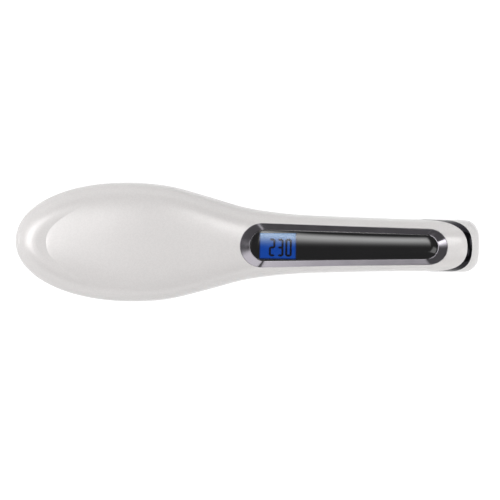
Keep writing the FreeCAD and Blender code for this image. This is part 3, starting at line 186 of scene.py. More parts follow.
@dataclass(frozen=True)
class Finish:
    """A surface finish: one shader, whose pattern a subclass draws on Object coordinates."""

    name: str
    colour: str
    roughness: float
    metallic: float = 0.0
    ior: float = 1.5
    coat: float = 0.0
    coat_roughness: float = 0.05
    cloud_mm: float = 22.0        # size of the slow drift in tone
    swing: tuple[float, float] = (0.88, 1.12)   # how far the roughness moves, as shares of it

    def material(self) -> bpy.types.Material:
        """Make the finish's material at its first use, and share it from then on.

        Returns:
            The material.
        """
        made = bpy.data.materials.get(self.name)
        if made is None:
            made = bpy.data.materials.new(self.name)
            made.use_nodes = True
            tree = made.node_tree
            shader = tree.nodes["Principled BSDF"]
            shader.inputs["Base Color"].default_value = linear(self.colour)
            shader.inputs["Roughness"].default_value = self.roughness
            shader.inputs["Metallic"].default_value = self.metallic
            shader.inputs["IOR"].default_value = self.ior
            shader.inputs["Coat Weight"].default_value = self.coat
            shader.inputs["Coat Roughness"].default_value = self.coat_roughness
            place = add_node(tree, "ShaderNodeTexCoord").outputs["Object"]
            self.pattern(Canvas(tree, shader, place))
        return made

    def pattern(self, canvas: Canvas) -> None:
        """Draw the finish's pattern."""
        raise NotImplementedError

    def drifting(self, canvas: Canvas, dark_share: float) -> bpy.types.NodeSocket:
        """Return the finish's colour, drifting slowly down to a share of it."""
        colour = linear(self.colour)
        return self.shades(canvas, canvas.noise(self.cloud_mm), shaded(colour, dark_share), colour)

    def shades(self, canvas: Canvas, source: bpy.types.NodeSocket, dark: tuple[float, ...],
               light: tuple[float, ...]) -> bpy.types.NodeSocket:
        """Return the colour that the source's middle range picks between dark and light."""
        return canvas.tones(canvas.spread(source, 0.0, 1.0), dark, light)

    def roughened(self, canvas: Canvas, source: bpy.types.NodeSocket) -> bpy.types.NodeSocket:
        """Return the finish's roughness, moved up and down by the source."""
        return canvas.spread(source, *[self.roughness * share for share in self.swing])


@dataclass(frozen=True)
class Moulded(Finish):
    """Injection moulded plastic: a fine eroded grain and a slow drift in tone."""

    grain_mm: float = 0.5
    relief_mm: float = 0.004
    drift: float = 0.04

    def pattern(self, canvas: Canvas) -> None:
        """Draw the grain and the drift.

        Args:
            canvas: What it is drawn on.
        """
        grain = canvas.noise(self.grain_mm)
        canvas.paint(self.drifting(canvas, 1 - self.drift), self.roughened(canvas, grain))
        canvas.relief(grain, self.relief_mm)


@dataclass(frozen=True)
class PearlCoat(Moulded):
    """Pearl lacquer over moulded plastic: flakes of slightly different tone under a clear coat."""

    cloud_mm: float = 30.0
    swing: tuple[float, float] = (0.92, 1.08)
    flake_mm: float = 0.6
    flake_tone: float = 0.035

    def pattern(self, canvas: Canvas) -> None:
        """Draw the flakes, the drift and the lacquer's faint waviness.

        Args:
            canvas: What it is drawn on.
        """
        flakes, channels = canvas.cells(self.flake_mm)
        share = canvas.spread(channels.outputs[0], 1 - self.flake_tone, 1.0)
        tone = add_node(canvas.tree, "ShaderNodeVectorMath", None,
                        {0: self.drifting(canvas, 1 - self.drift), 1: share},
                        operation="MULTIPLY").outputs[0]
        canvas.paint(tone, self.roughened(canvas, channels.outputs[1]))
        canvas.relief(canvas.noise(self.grain_mm, 0.0), self.relief_mm)


@dataclass(frozen=True)
class Plated(Finish):
    """Bright plating over plastic: faint haze in places, and the moulding's waviness below it."""

    swing: tuple[float, float] = (0.6, 1.5)
    haze_mm: float = 6.0
    haze_tone: float = 0.07
    wave_mm: float = 9.0
    relief_mm: float = 0.01

    def pattern(self, canvas: Canvas) -> None:
        """Draw the haze and the waviness.

        Args:
            canvas: What it is drawn on.
        """
        colour = linear(self.colour)
        haze = canvas.noise(self.haze_mm, 4.0)
        tone = self.shades(canvas, haze, shaded(colour, 1 - self.haze_tone), colour)
        canvas.paint(tone, self.roughened(canvas, haze))
        canvas.relief(canvas.noise(self.wave_mm, 0.0), self.relief_mm)


@dataclass(frozen=True)
class Worked(Finish):
    """Rolled, drawn or turned metal: fine streaks along one direction."""

    swing: tuple[float, float] = (0.8, 1.2)
    streak_mm: tuple[float, float, float] = (12.0, 0.3, 0.3)
    relief_mm: float = 0.003
    drift: float = 0.12

    def pattern(self, canvas: Canvas) -> None:
        """Draw the streaks.

        Args:
            canvas: What it is drawn on.
        """
        colour = linear(self.colour)
        per_metre = [1 / (size * MM) for size in self.streak_mm]
        stretched = add_node(canvas.tree, "ShaderNodeMapping", {"Scale": per_metre},
                             {"Vector": canvas.place})
        streaks = add_node(canvas.tree, "ShaderNodeTexNoise", {"Scale": 1.0, "Detail": 3.0},
                           {"Vector": stretched.outputs[0]}).outputs["Fac"]
        tone = self.shades(canvas, streaks, shaded(colour, 1 - self.drift), colour)
        canvas.paint(tone, self.roughened(canvas, streaks))
        canvas.relief(streaks, self.relief_mm)


@dataclass(frozen=True)
class Speckled(Finish):
    """Fired, cast or flaked material: grains of a second tone with a granular relief."""

    swing: tuple[float, float] = (0.85, 1.15)
    second: str = "#808080"
    grain_mm: float = 0.4
    share: float = 0.5
    relief_mm: float = 0.006

    def pattern(self, canvas: Canvas) -> None:
        """Draw the grains.

        Args:
            canvas: What it is drawn on.
        """
        grains, channels = canvas.cells(self.grain_mm)
        amount = add_node(canvas.tree, "ShaderNodeMapRange", {"To Max": self.share},
                          {"Value": channels.outputs[0]}).outputs["Result"]
        tone = canvas.tones(amount, linear(self.colour), linear(self.second))
        canvas.paint(tone, self.roughened(canvas, channels.outputs[1]))
        canvas.relief(grains.outputs["Distance"], self.relief_mm)


@dataclass(frozen=True)
class Laminate(Finish):
    """A circuit board: solder mask, with the copper tracks showing lighter through it."""

    track: str = "#3F9A58"
    pitch_mm: float = 2.4
    irregular: float = 0.8
    track_edge: tuple[float, float] = (0.34, 0.4)   # shares of the pitch from a cell's middle
    relief_mm: float = 0.03

    def pattern(self, canvas: Canvas) -> None:
        """Draw the tracks, which run between square cells.

        Args:
            canvas: What it is drawn on.
        """
        cells = add_node(canvas.tree, "ShaderNodeTexVoronoi",
                         {"Scale": 1 / (self.pitch_mm * MM), "Randomness": self.irregular},
                         {"Vector": canvas.place}, distance="CHEBYCHEV", feature="F1")
        line = add_node(canvas.tree, "ShaderNodeMapRange",
                        {"From Min": self.track_edge[0], "From Max": self.track_edge[1]},
                        {"Value": cells.outputs["Distance"]}).outputs["Result"]
        tone = canvas.tones(line, linear(self.colour), linear(self.track))
        canvas.tree.links.new(tone, canvas.shader.inputs["Base Color"])
        canvas.relief(line, self.relief_mm)


@dataclass(frozen=True)
class BacklitWithPaintedReflection(Finish):
    """The display's cell: a blue glow, a painted reflection of the softbox that whitens it towards
    one long side, and a dark sealed edge.
    """

    cloud_mm: float = 9.0
    cloud_share: float = 0.06     # how unevenly it glows
    # glow: the colour where the painted reflection of the softbox is strongest, a whitish blue
    glow: str = "#0A50A8"
    plain_glow: str = "#0A50A8"     # the glow alone, away from the painted reflection
    reflection_starts: float = -2.0       # where the painted reflection starts, across the cell
    rim: str = "#06245A"
    strength: float = 1.0
    low: tuple[float, float] = (6.9, -7.75)
    high: tuple[float, float] = (28.1, 7.75)
    edge_mm: float = 0.9

    def pattern(self, canvas: Canvas) -> None:
        """Draw the glow with its painted reflection towards the upper side; the glow falls off near
        the cell's edge.

        Args:
            canvas: What it is drawn on.
        """
        spans = []
        for low, high in zip(self.low, self.high):
            half = (high - low) / 2 * MM
            spans.append(((low + high) / 2 * MM, half, half - self.edge_mm * MM))
        inside = falloff(canvas.tree, canvas.place, spans)
        axes = add_node(canvas.tree, "ShaderNodeSeparateXYZ", None, {0: canvas.place})
        # across: how much painted reflection there is, from none below to full at the cell's upper
        # side
        across = add_node(canvas.tree, "ShaderNodeMapRange",
                          {"From Min": self.reflection_starts * MM, "From Max": self.high[1] * MM},
                          {"Value": axes.outputs[1]}, interpolation_type="SMOOTHSTEP").outputs[0]
        cloud = canvas.spread(canvas.noise(self.cloud_mm), -self.cloud_share, self.cloud_share)
        share = add_node(canvas.tree, "ShaderNodeMath", None, {0: across, 1: cloud}).outputs[0]
        # lit: the glow mixed with the painted reflection
        lit = canvas.tones(share, linear(self.plain_glow), linear(self.glow))
        colour = add_node(canvas.tree, "ShaderNodeMix", {6: linear(self.rim)},
                          {0: inside, 7: lit}, data_type="RGBA").outputs[2]
        canvas.tree.links.new(colour, canvas.shader.inputs["Emission Color"])
        canvas.shader.inputs["Emission Strength"].default_value = self.strength


@dataclass(frozen=True)
class Clear(Finish):
    """Clear moulded acrylic: a faint tint drift, so that what lies below shows through it."""

    cloud_mm: float = 12.0
    tint_drift: float = 0.03

    def pattern(self, canvas: Canvas) -> None:
        """Let the light through and draw the tint.

        Args:
            canvas: What it is drawn on.
        """
        tint = self.drifting(canvas, 1 - self.tint_drift)
        canvas.tree.links.new(tint, canvas.shader.inputs["Base Color"])
        canvas.shader.inputs["Transmission Weight"].default_value = 1.0


# Pearl white lacquer on ABS, polished: a soft sheen that brightens towards the light, under a
# clear coat that mirrors the lamps.
PEARL = PearlCoat("pearl_lacquer_on_abs", "#DEDBDA", 0.3, metallic=0.1, coat=0.5,
                  coat_roughness=0.14, grain_mm=3.0, relief_mm=0.003, drift=0.015)
# The same lacquer on the end cap, painted a shade whiter: a lighter copy that stands in for light
# falling on the cap.
CAP_PEARL_PAINTED_LIGHTER = PearlCoat("pearl_lacquer_painted_lighter_on_cap", "#E3E1E0", 0.3, metallic=0.1, coat=0.5,
                      coat_roughness=0.14, grain_mm=3.0, relief_mm=0.003, drift=0.015)
# Chromium plated ABS: mirrors the room darkly, with a slight lilac cast and a little haze.
CHROME = Plated("chromium_plated_abs", "#A8A4AB", 0.1, metallic=1.0)
# Dark chromium plated ABS of the end ring: nearly black, with sharp bright lamps on it.
DARK_CHROME = Plated("dark_chromium_plated_abs", "#302F33", 0.1, metallic=1.0)
# Smoked acrylic, printed black behind: deep and glossy, with the softbox lying on it as a band. The
# IOR is well above real acrylic's, to make that band as bright as it looks.
SMOKED = Moulded("smoked_acrylic", "#0B0A0C", 0.1, ior=1.9, grain_mm=6.0, relief_mm=0.0005,
                 drift=0.3)
# The unprinted window of the same moulding: clear, with the same gloss on top.
WINDOW = Clear("clear_acrylic", "#F4F8FC", 0.02, ior=1.49)
# Liquid crystal cell over a blue light guide: deep blue, with a painted reflection of the softbox
# that whitens it towards its upper side, and fading at its sealed edge. Its IOR is near 1, so that
# it adds no shine of its own below the window.
CELL_WITH_PAINTED_REFLECTION = BacklitWithPaintedReflection("backlit_cell_painted_reflection", "#02060E", 0.3, ior=1.05, glow="#7094B8",
               plain_glow="#0042A0")
# Printed electrodes, switched on: a navy that blocks the light behind it.
SEGMENTS = Moulded("display_segments_on", "#020B24", 0.5, ior=1.05, grain_mm=1.0,
                   relief_mm=0.001)
# Light guide in frosted acrylic: milky and blue from the light inside it.
GUIDE = Moulded("frosted_light_guide", "#BFD8F2", 0.45, grain_mm=0.3, relief_mm=0.01)
# Natural moulded ABS, as it leaves the tool: warm white and matt.
NATURAL = Moulded("natural_abs", "#DAD6CA", 0.5, grain_mm=0.4, relief_mm=0.01)
# Epoxy glass laminate under green solder mask: tracks show a lighter green.
BOARD = Laminate("green_circuit_board", "#14592F", 0.35)
# Moulded epoxy of a chip package: dark grey, matt, finely pitted.
PACKAGE = Speckled("moulded_epoxy", "#1B1B1E", 0.55, second="#2C2C30", grain_mm=0.25)
# Polyimide film cable: amber, with the copper lines as streaks along it.
RIBBON = Worked("polyimide_ribbon", "#B7772F", 0.35, streak_mm=(20.0, 0.6, 20.0), drift=0.35)
# Satin black ABS inset: eroded grain that keeps the lamps' reflections dull.
INSET = Moulded("satin_black_abs", "#18181A", 0.42, grain_mm=0.35, relief_mm=0.006, drift=0.12)
# Soft-touch lacquer on the keys: mid grey, almost without gloss.
KEY = Moulded("soft_touch_grey", "#7C7D80", 0.55, grain_mm=0.3, relief_mm=0.004, drift=0.06)
# Tampo printed symbols: flat white ink with a slight edge to it.
PRINT = Moulded("white_pad_print", "#F0F0EC", 0.45, grain_mm=0.5, relief_mm=0.002)
# Acetal plunger: black and slippery looking.
PLUNGER = Moulded("black_acetal", "#141416", 0.3, grain_mm=0.4, relief_mm=0.003, drift=0.1)
# Nickelled steel shell of a switch: pale, with rolling streaks.
SWITCH = Worked("nickelled_steel", "#B9B8B4", 0.28, metallic=1.0, streak_mm=(6.0, 0.2, 0.2))
# Zinc plated steel screws: bright with the turning marks round them.
ZINC = Worked("zinc_plated_steel", "#C3C3C6", 0.25, metallic=1.0, streak_mm=(2.0, 2.0, 0.12))
# Soft rubber plugs: pale and matt, so that they sink into the cover.
RUBBER = Moulded("soft_rubber", "#CFCDC8", 0.75, grain_mm=0.6, relief_mm=0.01)
# Green polyamide terminals: semi-gloss, slightly mottled by its filler.
TERMINAL = Speckled("green_polyamide", "#2E7D4F", 0.4, second="#256A42", grain_mm=0.5)
# Lacquered film capacitor: mustard yellow with a wet look.
FILM = Moulded("yellow_lacquer", "#D8A21E", 0.3, coat=0.4, grain_mm=0.8, relief_mm=0.01)
# Shrink sleeve over an aluminium can: dark blue and glossy, slightly rippled.
SLEEVE = Moulded("blue_shrink_sleeve", "#1C2740", 0.3, grain_mm=1.5, relief_mm=0.02)
# Extruded aluminium: grey, with die lines along it.
EXTRUDED = Worked("extruded_aluminium", "#A6A8AB", 0.35, metallic=1.0, streak_mm=(0.3, 0.3, 14.0))
# Fuse in a glazed ceramic body: ivory, faintly mottled.
FUSE = Speckled("glazed_ceramic", "#D9CFB8", 0.25, second="#C9BC9F", grain_mm=0.8)
# Glass filled polyamide of the comb: black, dull, with the glass fibres' fine grain.
COMB = Speckled("glass_filled_polyamide", "#141416", 0.46, second="#222226", grain_mm=0.3,
                share=0.6, relief_mm=0.01)
# Anodised aluminium plate: satin grey with mill streaks.
PLATE = Worked("anodised_aluminium", "#8E9094", 0.4, metallic=1.0, streak_mm=(14.0, 0.25, 0.25))
# Ceramic coating on the aluminium bristles: charcoal with a slight sparkle.
COATED = Speckled("ceramic_coated_aluminium", "#4A4B50", 0.38, metallic=0.5, second="#6A6C73",
                  grain_mm=0.22, relief_mm=0.004)
# Heat resistant nylon caps on the bristles: burnt orange with a soft shine.
TIPS = Moulded("heat_resistant_nylon", "#B4592B", 0.4, grain_mm=0.3, relief_mm=0.003, drift=0.1)
# Nylon cool bristles: nearly black, with a smoother skin than the comb.
COOL = Moulded("smooth_nylon", "#26262A", 0.3, grain_mm=0.4, relief_mm=0.002, drift=0.1)
# Alumina heaters: chalky white with a fired grain.
ALUMINA = Speckled("alumina_ceramic", "#E4E1DA", 0.6, second="#CFCAC0", grain_mm=0.3)
# Pressed mica sheet: silvery brown flakes.
MICA = Speckled("pressed_mica", "#A5936F", 0.3, metallic=0.2, second="#C9BB98", grain_mm=1.6)
# Spring steel clamp: grey with rolling streaks.
SPRING = Worked("spring_steel", "#8B8C8E", 0.3, metallic=1.0)
# Drawn aluminium shield: soft sheen, with the press's draw lines.
SHIELD = Worked("drawn_aluminium", "#B4B6B9", 0.32, metallic=1.0, streak_mm=(9.0, 0.5, 3.0))
# Glass bead sensor: amber glass, glossy.
BEAD = Moulded("glass_bead", "#B4763A", 0.12, coat=0.5, grain_mm=1.0, relief_mm=0.002)
# Tinned copper case of the cut-out: silver grey, slightly dull.
TINNED = Worked("tinned_case", "#B5B3AC", 0.36, metallic=1.0)
# Silicone rubber sleeves on the leads: matt, with faint ripples from winding.
LEAD_RED = Moulded("red_silicone", "#A82A22", 0.55, grain_mm=1.2, relief_mm=0.02)
LEAD_WHITE = Moulded("white_silicone", "#DEDCD4", 0.55, grain_mm=1.2, relief_mm=0.02)
LEAD_BLACK = Moulded("black_silicone", "#1B1B1C", 0.55, grain_mm=1.2, relief_mm=0.02)
# Acetal gland: black, turned smooth where it runs in its hub.
GLAND = Moulded("turned_black_acetal", "#1C1C1F", 0.34, grain_mm=0.6, relief_mm=0.004, drift=0.1)
# Turned brass rings: warm yellow with turning marks round them.
BRASS = Worked("turned_brass", "#C6A15A", 0.22, metallic=1.0, streak_mm=(0.15, 4.0, 4.0))
# Phosphor bronze contacts: redder than the rings, rolled.
BRONZE = Worked("phosphor_bronze", "#B97F4E", 0.28, metallic=1.0)
# Phenolic insulating block: cream with a pressed, mottled grain.
PHENOLIC = Speckled("cream_phenolic", "#D8CCAC", 0.5, second="#C6B892", grain_mm=0.7)


# ---------------------------------------------------------------- pieces
class Body(Enum):
    """What a piece moves with."""

    BRUSH = "brush"
    POWER = "power_key"
    PLUS = "plus_key"
    MINUS = "minus_key"
    SWIVEL = "cord_swivel"


def link(name: str, mesh: bpy.types.Mesh) -> bpy.types.Object:
    """Put a mesh into the scene.

    Args:
        name: The object's name.
        mesh: Its mesh.

    Returns:
        The object.
    """
    made = bpy.data.objects.new(name, mesh)
    bpy.context.scene.collection.objects.link(made)
    return made


def as_piece(name: str, bm: bmesh.types.BMesh, finishes: Sequence[Finish], body: Body,
             replaces: Sequence[str] = (), crease: float = 35.0) -> bpy.types.Object:
    """Make a closed bmesh, modelled in millimetres, into a piece of the brush.

    Args:
        name: The piece's name.
        bm: Its bmesh, which is freed.
        finishes: Its finishes, in the order of its faces' material numbers.
        body: What it moves with.
        replaces: The frame's nodes that it stands for.
        crease: The angle between faces, in degrees, above which an edge stays sharp.

    Returns:
        The piece.
    """
    bmesh.ops.remove_doubles(bm, verts=bm.verts, dist=WELD_MM)
    bmesh.ops.recalc_face_normals(bm, faces=bm.faces)
    bmesh.ops.scale(bm, vec=(MM, MM, MM), verts=bm.verts)
    mesh = bpy.data.meshes.new(name)
    bm.to_mesh(mesh)
    bm.free()
    mesh.shade_smooth()
    mesh.set_sharp_from_angle(angle=math.radians(crease))
    made = link(name, mesh)
    for finish in finishes:
        mesh.materials.append(finish.material())
    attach(made, body.value)
    if replaces:
        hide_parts(*replaces)
    LOG.info("%s: %d faces on %s", name, len(mesh.polygons), body.value)
    return made


@dataclass(frozen=True)
class SubAssembly:
    """Parts of the brush that belong together: nodes to dress and pieces to build."""

    def finishes(self) -> Mapping[str, Finish]:
        """Return the finish of every frame node that keeps its shape."""
        return {}

    def pieces(self, nodes: Nodes) -> list[bpy.types.Object]:
        """Build and return the new pieces."""
        return []

    def build(self, nodes: Nodes) -> None:
        """Dress the frame's nodes and build the new pieces.

        Args:
            nodes: The frame's nodes by name.
        """
        finishes = self.finishes()
        for name, finish in finishes.items():
            mesh = nodes[name].data
            mesh.materials.clear()
            mesh.materials.append(finish.material())
        made = self.pieces(nodes)
        LOG.info("%s: %d nodes dressed, %d pieces built", type(self).__name__, len(finishes),
                 len(made))


# ---------------------------------------------------------------- the handle's back
@dataclass(frozen=True)
class BackForm:
    """The handle's back around the panel, as sizes at distances from the head's tip."""

    tip: float = -135.0
    crest: Stations = ((84.0, 42.0), (110.0, 41.5), (135.0, 40.2), (192.0, 36.2), (245.0, 32.5),
                       (270.0, 31.0))
    seam: Stations = ((0.0, 25.0), (110.0, 25.0), (145.0, 23.404), (185.0, 19.4995),
                      (225.0, 16.4025), (270.0, 15.5))
    half_width: Stations = ((90.0, 32.5988), (115.0, 26.0998), (135.0, 20.7066),
                            (160.0, 17.5056), (195.0, 15.9924), (235.0, 15.1), (270.0, 15.197))
    fullness: Stations = ((80.0, 2.6), (135.0, 2.4), (175.0, 2.3), (270.0, 2.3))

    def size(self, stations: Stations, x: float) -> float:
        """Return the smooth curve through the stations at x.

        Args:
            stations: Distances from the tip and the size at each.
            x: Where, along X.

        Returns:
            The size there, level past the first and the last station.
        """
        at = min(max(x - self.tip, stations[0][0]), stations[-1][0])
        i = max(k for k in range(len(stations) - 1) if stations[k][0] <= at)

        def slope(k: int) -> float:
            """Find the curve's slope at a station.

            Args:
                k: The station's number.

            Returns:
                The slope.
            """
            if k == 0:
                return 0.0
            after = min(k + 1, len(stations) - 1)
            rise = stations[after][1] - stations[k - 1][1]
            return rise / (stations[after][0] - stations[k - 1][0])

        (x0, low), (x1, high) = stations[i], stations[i + 1]
        span = x1 - x0
        t = (at - x0) / span
        return ((2 * t**3 - 3 * t**2 + 1) * low + (t**3 - 2 * t**2 + t) * slope(i) * span
                + (3 * t**2 - 2 * t**3) * high + (t**3 - t**2) * slope(i + 1) * span)

    def height(self, x: float, y: float, offset: float = 0.0) -> float:
        """Return the back's height.

        Args:
            x: Where, along the brush.
            y: Where, across it.
            offset: How far out of the covers' surface, or into them if negative.

        Returns:
            The height in millimetres.
        """
        seam = self.size(self.seam, x)
        above = self.size(self.crest, x) - seam + offset
        half = self.size(self.half_width, x) + offset
        power = self.size(self.fullness, x)
        return seam + above * (1 - min(1.0, abs(y) / half) ** power) ** (1 / power)


@dataclass(frozen=True)
class Slot:
    """A panel outline: two circles on the brush's middle line and the tangents between them."""

    head_x: float
    head_radius: float
    tail_x: float
    tail_radius: float

    def lean(self) -> float:
        """Return the angle from +X of the straight sides' outward direction."""
        return math.acos((self.head_radius - self.tail_radius) / (self.tail_x - self.head_x))

    def towards(self, other: "Slot", share: float) -> "Slot":
        """Return the outline a share of the way to another."""
        pairs = zip((self.head_x, self.head_radius, self.tail_x, self.tail_radius),
                    (other.head_x, other.head_radius, other.tail_x, other.tail_radius))
        return Slot(*[a + share * (b - a) for a, b in pairs])

    def scaled(self, share: float) -> "Slot":
        """Return the outline with both circles' radii scaled, down to the middle line at 0."""
        return Slot(self.head_x, self.head_radius * share, self.tail_x, self.tail_radius * share)

    def point(self, along: float, turn: float) -> tuple[float, float]:
        """Find a point of the outline.

        Args:
            along: The share along its middle, 0 at the head.
            turn: The direction from there, in radians.

        Returns:
            Its x and y.
        """
        radius = self.head_radius + along * (self.tail_radius - self.head_radius)
        middle = self.head_x + along * (self.tail_x - self.head_x)
        return middle + radius * math.cos(turn), radius * math.sin(turn)


@dataclass(frozen=True)
class SlotRing:
    """One ring of a slot-shaped moulding: its outline, and its height at a place on it.

    The place is given by the share along the slot's middle and the direction from it.
    """

    outline: Slot
    height: Callable[[float, float], float]


class SlotSheet:
    """A sheet of slot-shaped rings on the handle's back, each drawn out of the one before."""

    def __init__(self, around: int = 96, beside: int = 70) -> None:
        """Start an empty sheet.

        Args:
            around: How many points the two round ends have together.
            beside: How many points each straight side has.
        """
        self.around = around
        self.beside = beside
        self.bm = bmesh.new()
        self.along = self.bm.verts.layers.float.new("along")
        self.turn = self.bm.verts.layers.float.new("turn")

    def first(self, outline: Slot) -> list[bmesh.types.BMEdge]:
        """Make the first ring's edges from a circle, split where the straight sides are.

        Args:
            outline: The ring's outline.

        Returns:
            The ring's edges.
        """
        circle = bmesh.ops.create_circle(self.bm, segments=self.around, radius=1.0)["verts"]
        lean = outline.lean()
        for vert in circle:
            vert[self.turn] = math.atan2(vert.co.y, vert.co.x)
            vert[self.along] = 1.0 if abs(vert[self.turn]) < lean else 0.0
        sides = [edge for edge in self.bm.edges
                 if edge.verts[0][self.along] != edge.verts[1][self.along]]
        for edge in sides:
            for vert in edge.verts:
                vert[self.turn] = math.copysign(lean, vert[self.turn])
        bmesh.ops.subdivide_edges(self.bm, edges=sides, cuts=self.beside)
        return list(self.bm.edges)

    def lay(self, verts: Sequence[bmesh.types.BMVert], ring: SlotRing) -> None:
        """Move a ring's points onto its outline and its height."""
        for vert in verts:
            along, turn = vert[self.along], vert[self.turn]
            vert.co = (*ring.outline.point(along, turn), ring.height(along, turn))

    def loft(self, rings: Sequence[SlotRing]) -> bmesh.types.BMesh:
        """Draw the sheet through every ring in turn.

        Args:
            rings: The rings, the first being where the sheet starts.

        Returns:
            The bmesh, in millimetres.
        """
        edges = self.first(rings[0].outline)
        self.lay(list(self.bm.verts), rings[0])
        for ring in rings[1:]:
            drawn = bmesh.ops.extrude_edge_only(self.bm, edges=edges)["geom"]
            verts = [item for item in drawn if isinstance(item, bmesh.types.BMVert)]
            fresh = set(verts)
            edges = [item for item in drawn if isinstance(item, bmesh.types.BMEdge)
                     and all(vert in fresh for vert in item.verts)]
            self.lay(verts, ring)
        bmesh.ops.remove_doubles(self.bm, verts=self.bm.verts, dist=10 * WELD_MM)
        return self.bm


# ---------------------------------------------------------------- sub-assemblies
@dataclass(frozen=True)
class Covers(SubAssembly):
    """The two covers, the end cap and ring, and the screws and plugs of the underside."""

    def finishes(self) -> Mapping[str, Finish]:
        """Return the finish of every frame node that keeps its shape."""
        # the end cap takes the lacquer's lighter copy, which is painted light
        return {"back_cover": PEARL, "front_cover": PEARL, "end_cap": CAP_PEARL_PAINTED_LIGHTER,
                "end_ring": DARK_CHROME, "cover_screws": ZINC, "screw_plugs": RUBBER}


@dataclass(frozen=True)
class ControlPanel(SubAssembly):
    """The chromed bezel and the smoked lens on the handle's back."""

    form: BackForm = BackForm()
    outer: Slot = Slot(8.45, 12.9, 105.9, 10.2)
    inner: Slot = Slot(10.35, 9.0, 103.45, 7.1)
    seat: float = -2.16           # how far below the covers' surface the lens ends
    root: float = -2.7            # and the bezel
    lip: Stations = ((0.03, -2.7), (0.0, -1.0), (0.0, 0.02), (0.01, 0.11), (0.03, 0.16))
    ledge: tuple[float, ...] = (0.05, 0.1, 0.2, 0.35, 0.5, 0.65, 0.8, 0.9, 0.94)
    side_tilts: tuple[float, float] = (4.2, 3.4)   # the ledge's inward lean, head and tail
    end_tilts: tuple[float, float] = (9.5, 2.0)    # and round the lens's ends, in degrees
    inner_roll: Stations = ((0.965, -0.03), (0.985, -0.1), (1.0, -0.25))   # off the ledge
    lens_gap: float = 0.1
    lens_edge: float = -1.5       # how far below the covers' surface the lens ends, head and tail
    lens_top: float = -0.92       # and its middle and straight sides
    lens_roll: float = 5.0        # over which distance it rises from its round ends
    lens_bevel: float = 0.15
    lens_curl: float = 2.2        # how late the dip at its round ends sets in
    rings: int = 26
    crowding: float = 1.4         # how much closer the rings lie near the lens's edge
    window: tuple[float, float, float, float] = (6.9, 28.1, -8.0, 7.2)

    def pieces(self, nodes: Nodes) -> list[bpy.types.Object]:
        """Build and return the bezel and the lens."""
        return [self.bezel(), self.lens()]

    def bezel(self) -> bpy.types.Object:
        """Draw the bezel's section round the panel and close it on itself.

        Returns:
            The bezel.
        """
        rings = [self.skin_ring(self.outer.towards(self.inner, share), offset)
                 for share, offset in self.lip]
        rings += [self.ledge_ring(share) for share in self.ledge]
        rings += [self.ledge_ring(share, sunk) for share, sunk in self.inner_roll]
        rings += [self.skin_ring(self.inner, self.root), rings[0]]
        return as_piece("chrome_bezel", SlotSheet().loft(rings), [CHROME], Body.BRUSH,
                        ["panel_bezel"], crease=50.0)

    def skin_ring(self, outline: Slot, offset: float) -> SlotRing:
        """Return the ring that lies everywhere at one offset from the covers' surface."""
        def height(along: float, turn: float) -> float:
            """Return the ring's height at one place."""
            return self.form.height(*outline.point(along, turn), offset)
        return SlotRing(outline, height)

    def ledge_ring(self, share: float, sunk: float = 0.0) -> SlotRing:
        """Return a ring of the bezel's ledge, which leans a little towards the lens.

        Args:
            share: How far the ring is across the bezel, from its outer to its inner edge.
            sunk: How far it lies off the ledge.

        Returns:
            The ring.
        """
        lip_share, lip_offset = self.lip[-1]
        edge = self.outer.towards(self.inner, lip_share)
        outline = self.outer.towards(self.inner, share)

        def height(along: float, turn: float) -> float:
            """Find the ring's height: the rim's beside it, less the lean.

            Args:
                along: The share along the outline's middle.
                turn: The direction from there.

            Returns:
                The height.
            """
            (x, y), (rim_x, rim_y) = outline.point(along, turn), edge.point(along, turn)
            side, end = [head + along * (tail - head)
                         for head, tail in (self.side_tilts, self.end_tilts)]
            tilt = side + (end - side) * math.cos(turn) ** 2
            drop = math.hypot(x - rim_x, y - rim_y) * math.tan(math.radians(tilt))
            return self.form.height(x, rim_y, lip_offset) - drop + sunk
        return SlotRing(outline, height)

    def lens_ring(self, outline: Slot, share: float) -> SlotRing:
        """Return a ring of the lens: bevelled at its edge, and dipping at its round ends.

        Args:
            outline: The ring's outline.
            share: Its radius as a share of the lens's.

        Returns:
            The ring.
        """
        def height(along: float, turn: float) -> float:
            """Find the ring's height.

            Args:
                along: The share along the outline's middle.
                turn: The direction from there.

            Returns:
                The height.
            """
            radius = self.inner.head_radius + along * (self.inner.tail_radius
                                                       - self.inner.head_radius)
            inwards = min(1.0, radius * (1 - share) / self.lens_roll)
            dip = self.lens_edge - self.lens_top
            dip *= math.cos(turn) ** 2 * (1 - inwards) ** self.lens_curl
            edge = max(0.0, 1 - radius * (1 - share) / self.lens_bevel)
            offset = self.lens_top + dip - self.lens_bevel * edge
            return self.form.height(*outline.point(along, turn), offset)
        return SlotRing(outline, height)

    def lens(self) -> bpy.types.Object:
        """Make the lens as a domed sheet and give it its thickness down to the seat.

        Returns:
            The lens.
        """
        edge = Slot(self.inner.head_x, self.inner.head_radius - self.lens_gap,
                    self.inner.tail_x, self.inner.tail_radius - self.lens_gap)
        bevel = 1 - self.lens_bevel / self.inner.tail_radius
        shares = [1.0] + [bevel * (1 - (i / self.rings) ** self.crowding)
                          for i in range(self.rings + 1)]
        bm = SlotSheet().loft([self.lens_ring(edge.scaled(share), share) for share in shares])
        under = bmesh.ops.extrude_face_region(bm, geom=list(bm.faces), use_keep_orig=True)
        for vert in [item for item in under["geom"] if isinstance(item, bmesh.types.BMVert)]:
            vert.co.z = self.form.height(vert.co.x, vert.co.y, self.seat)
        self.open_window(bm)
        return as_piece("smoked_lens", bm, [SMOKED, WINDOW], Body.BRUSH,
                        ["panel_lens"], crease=50.0)

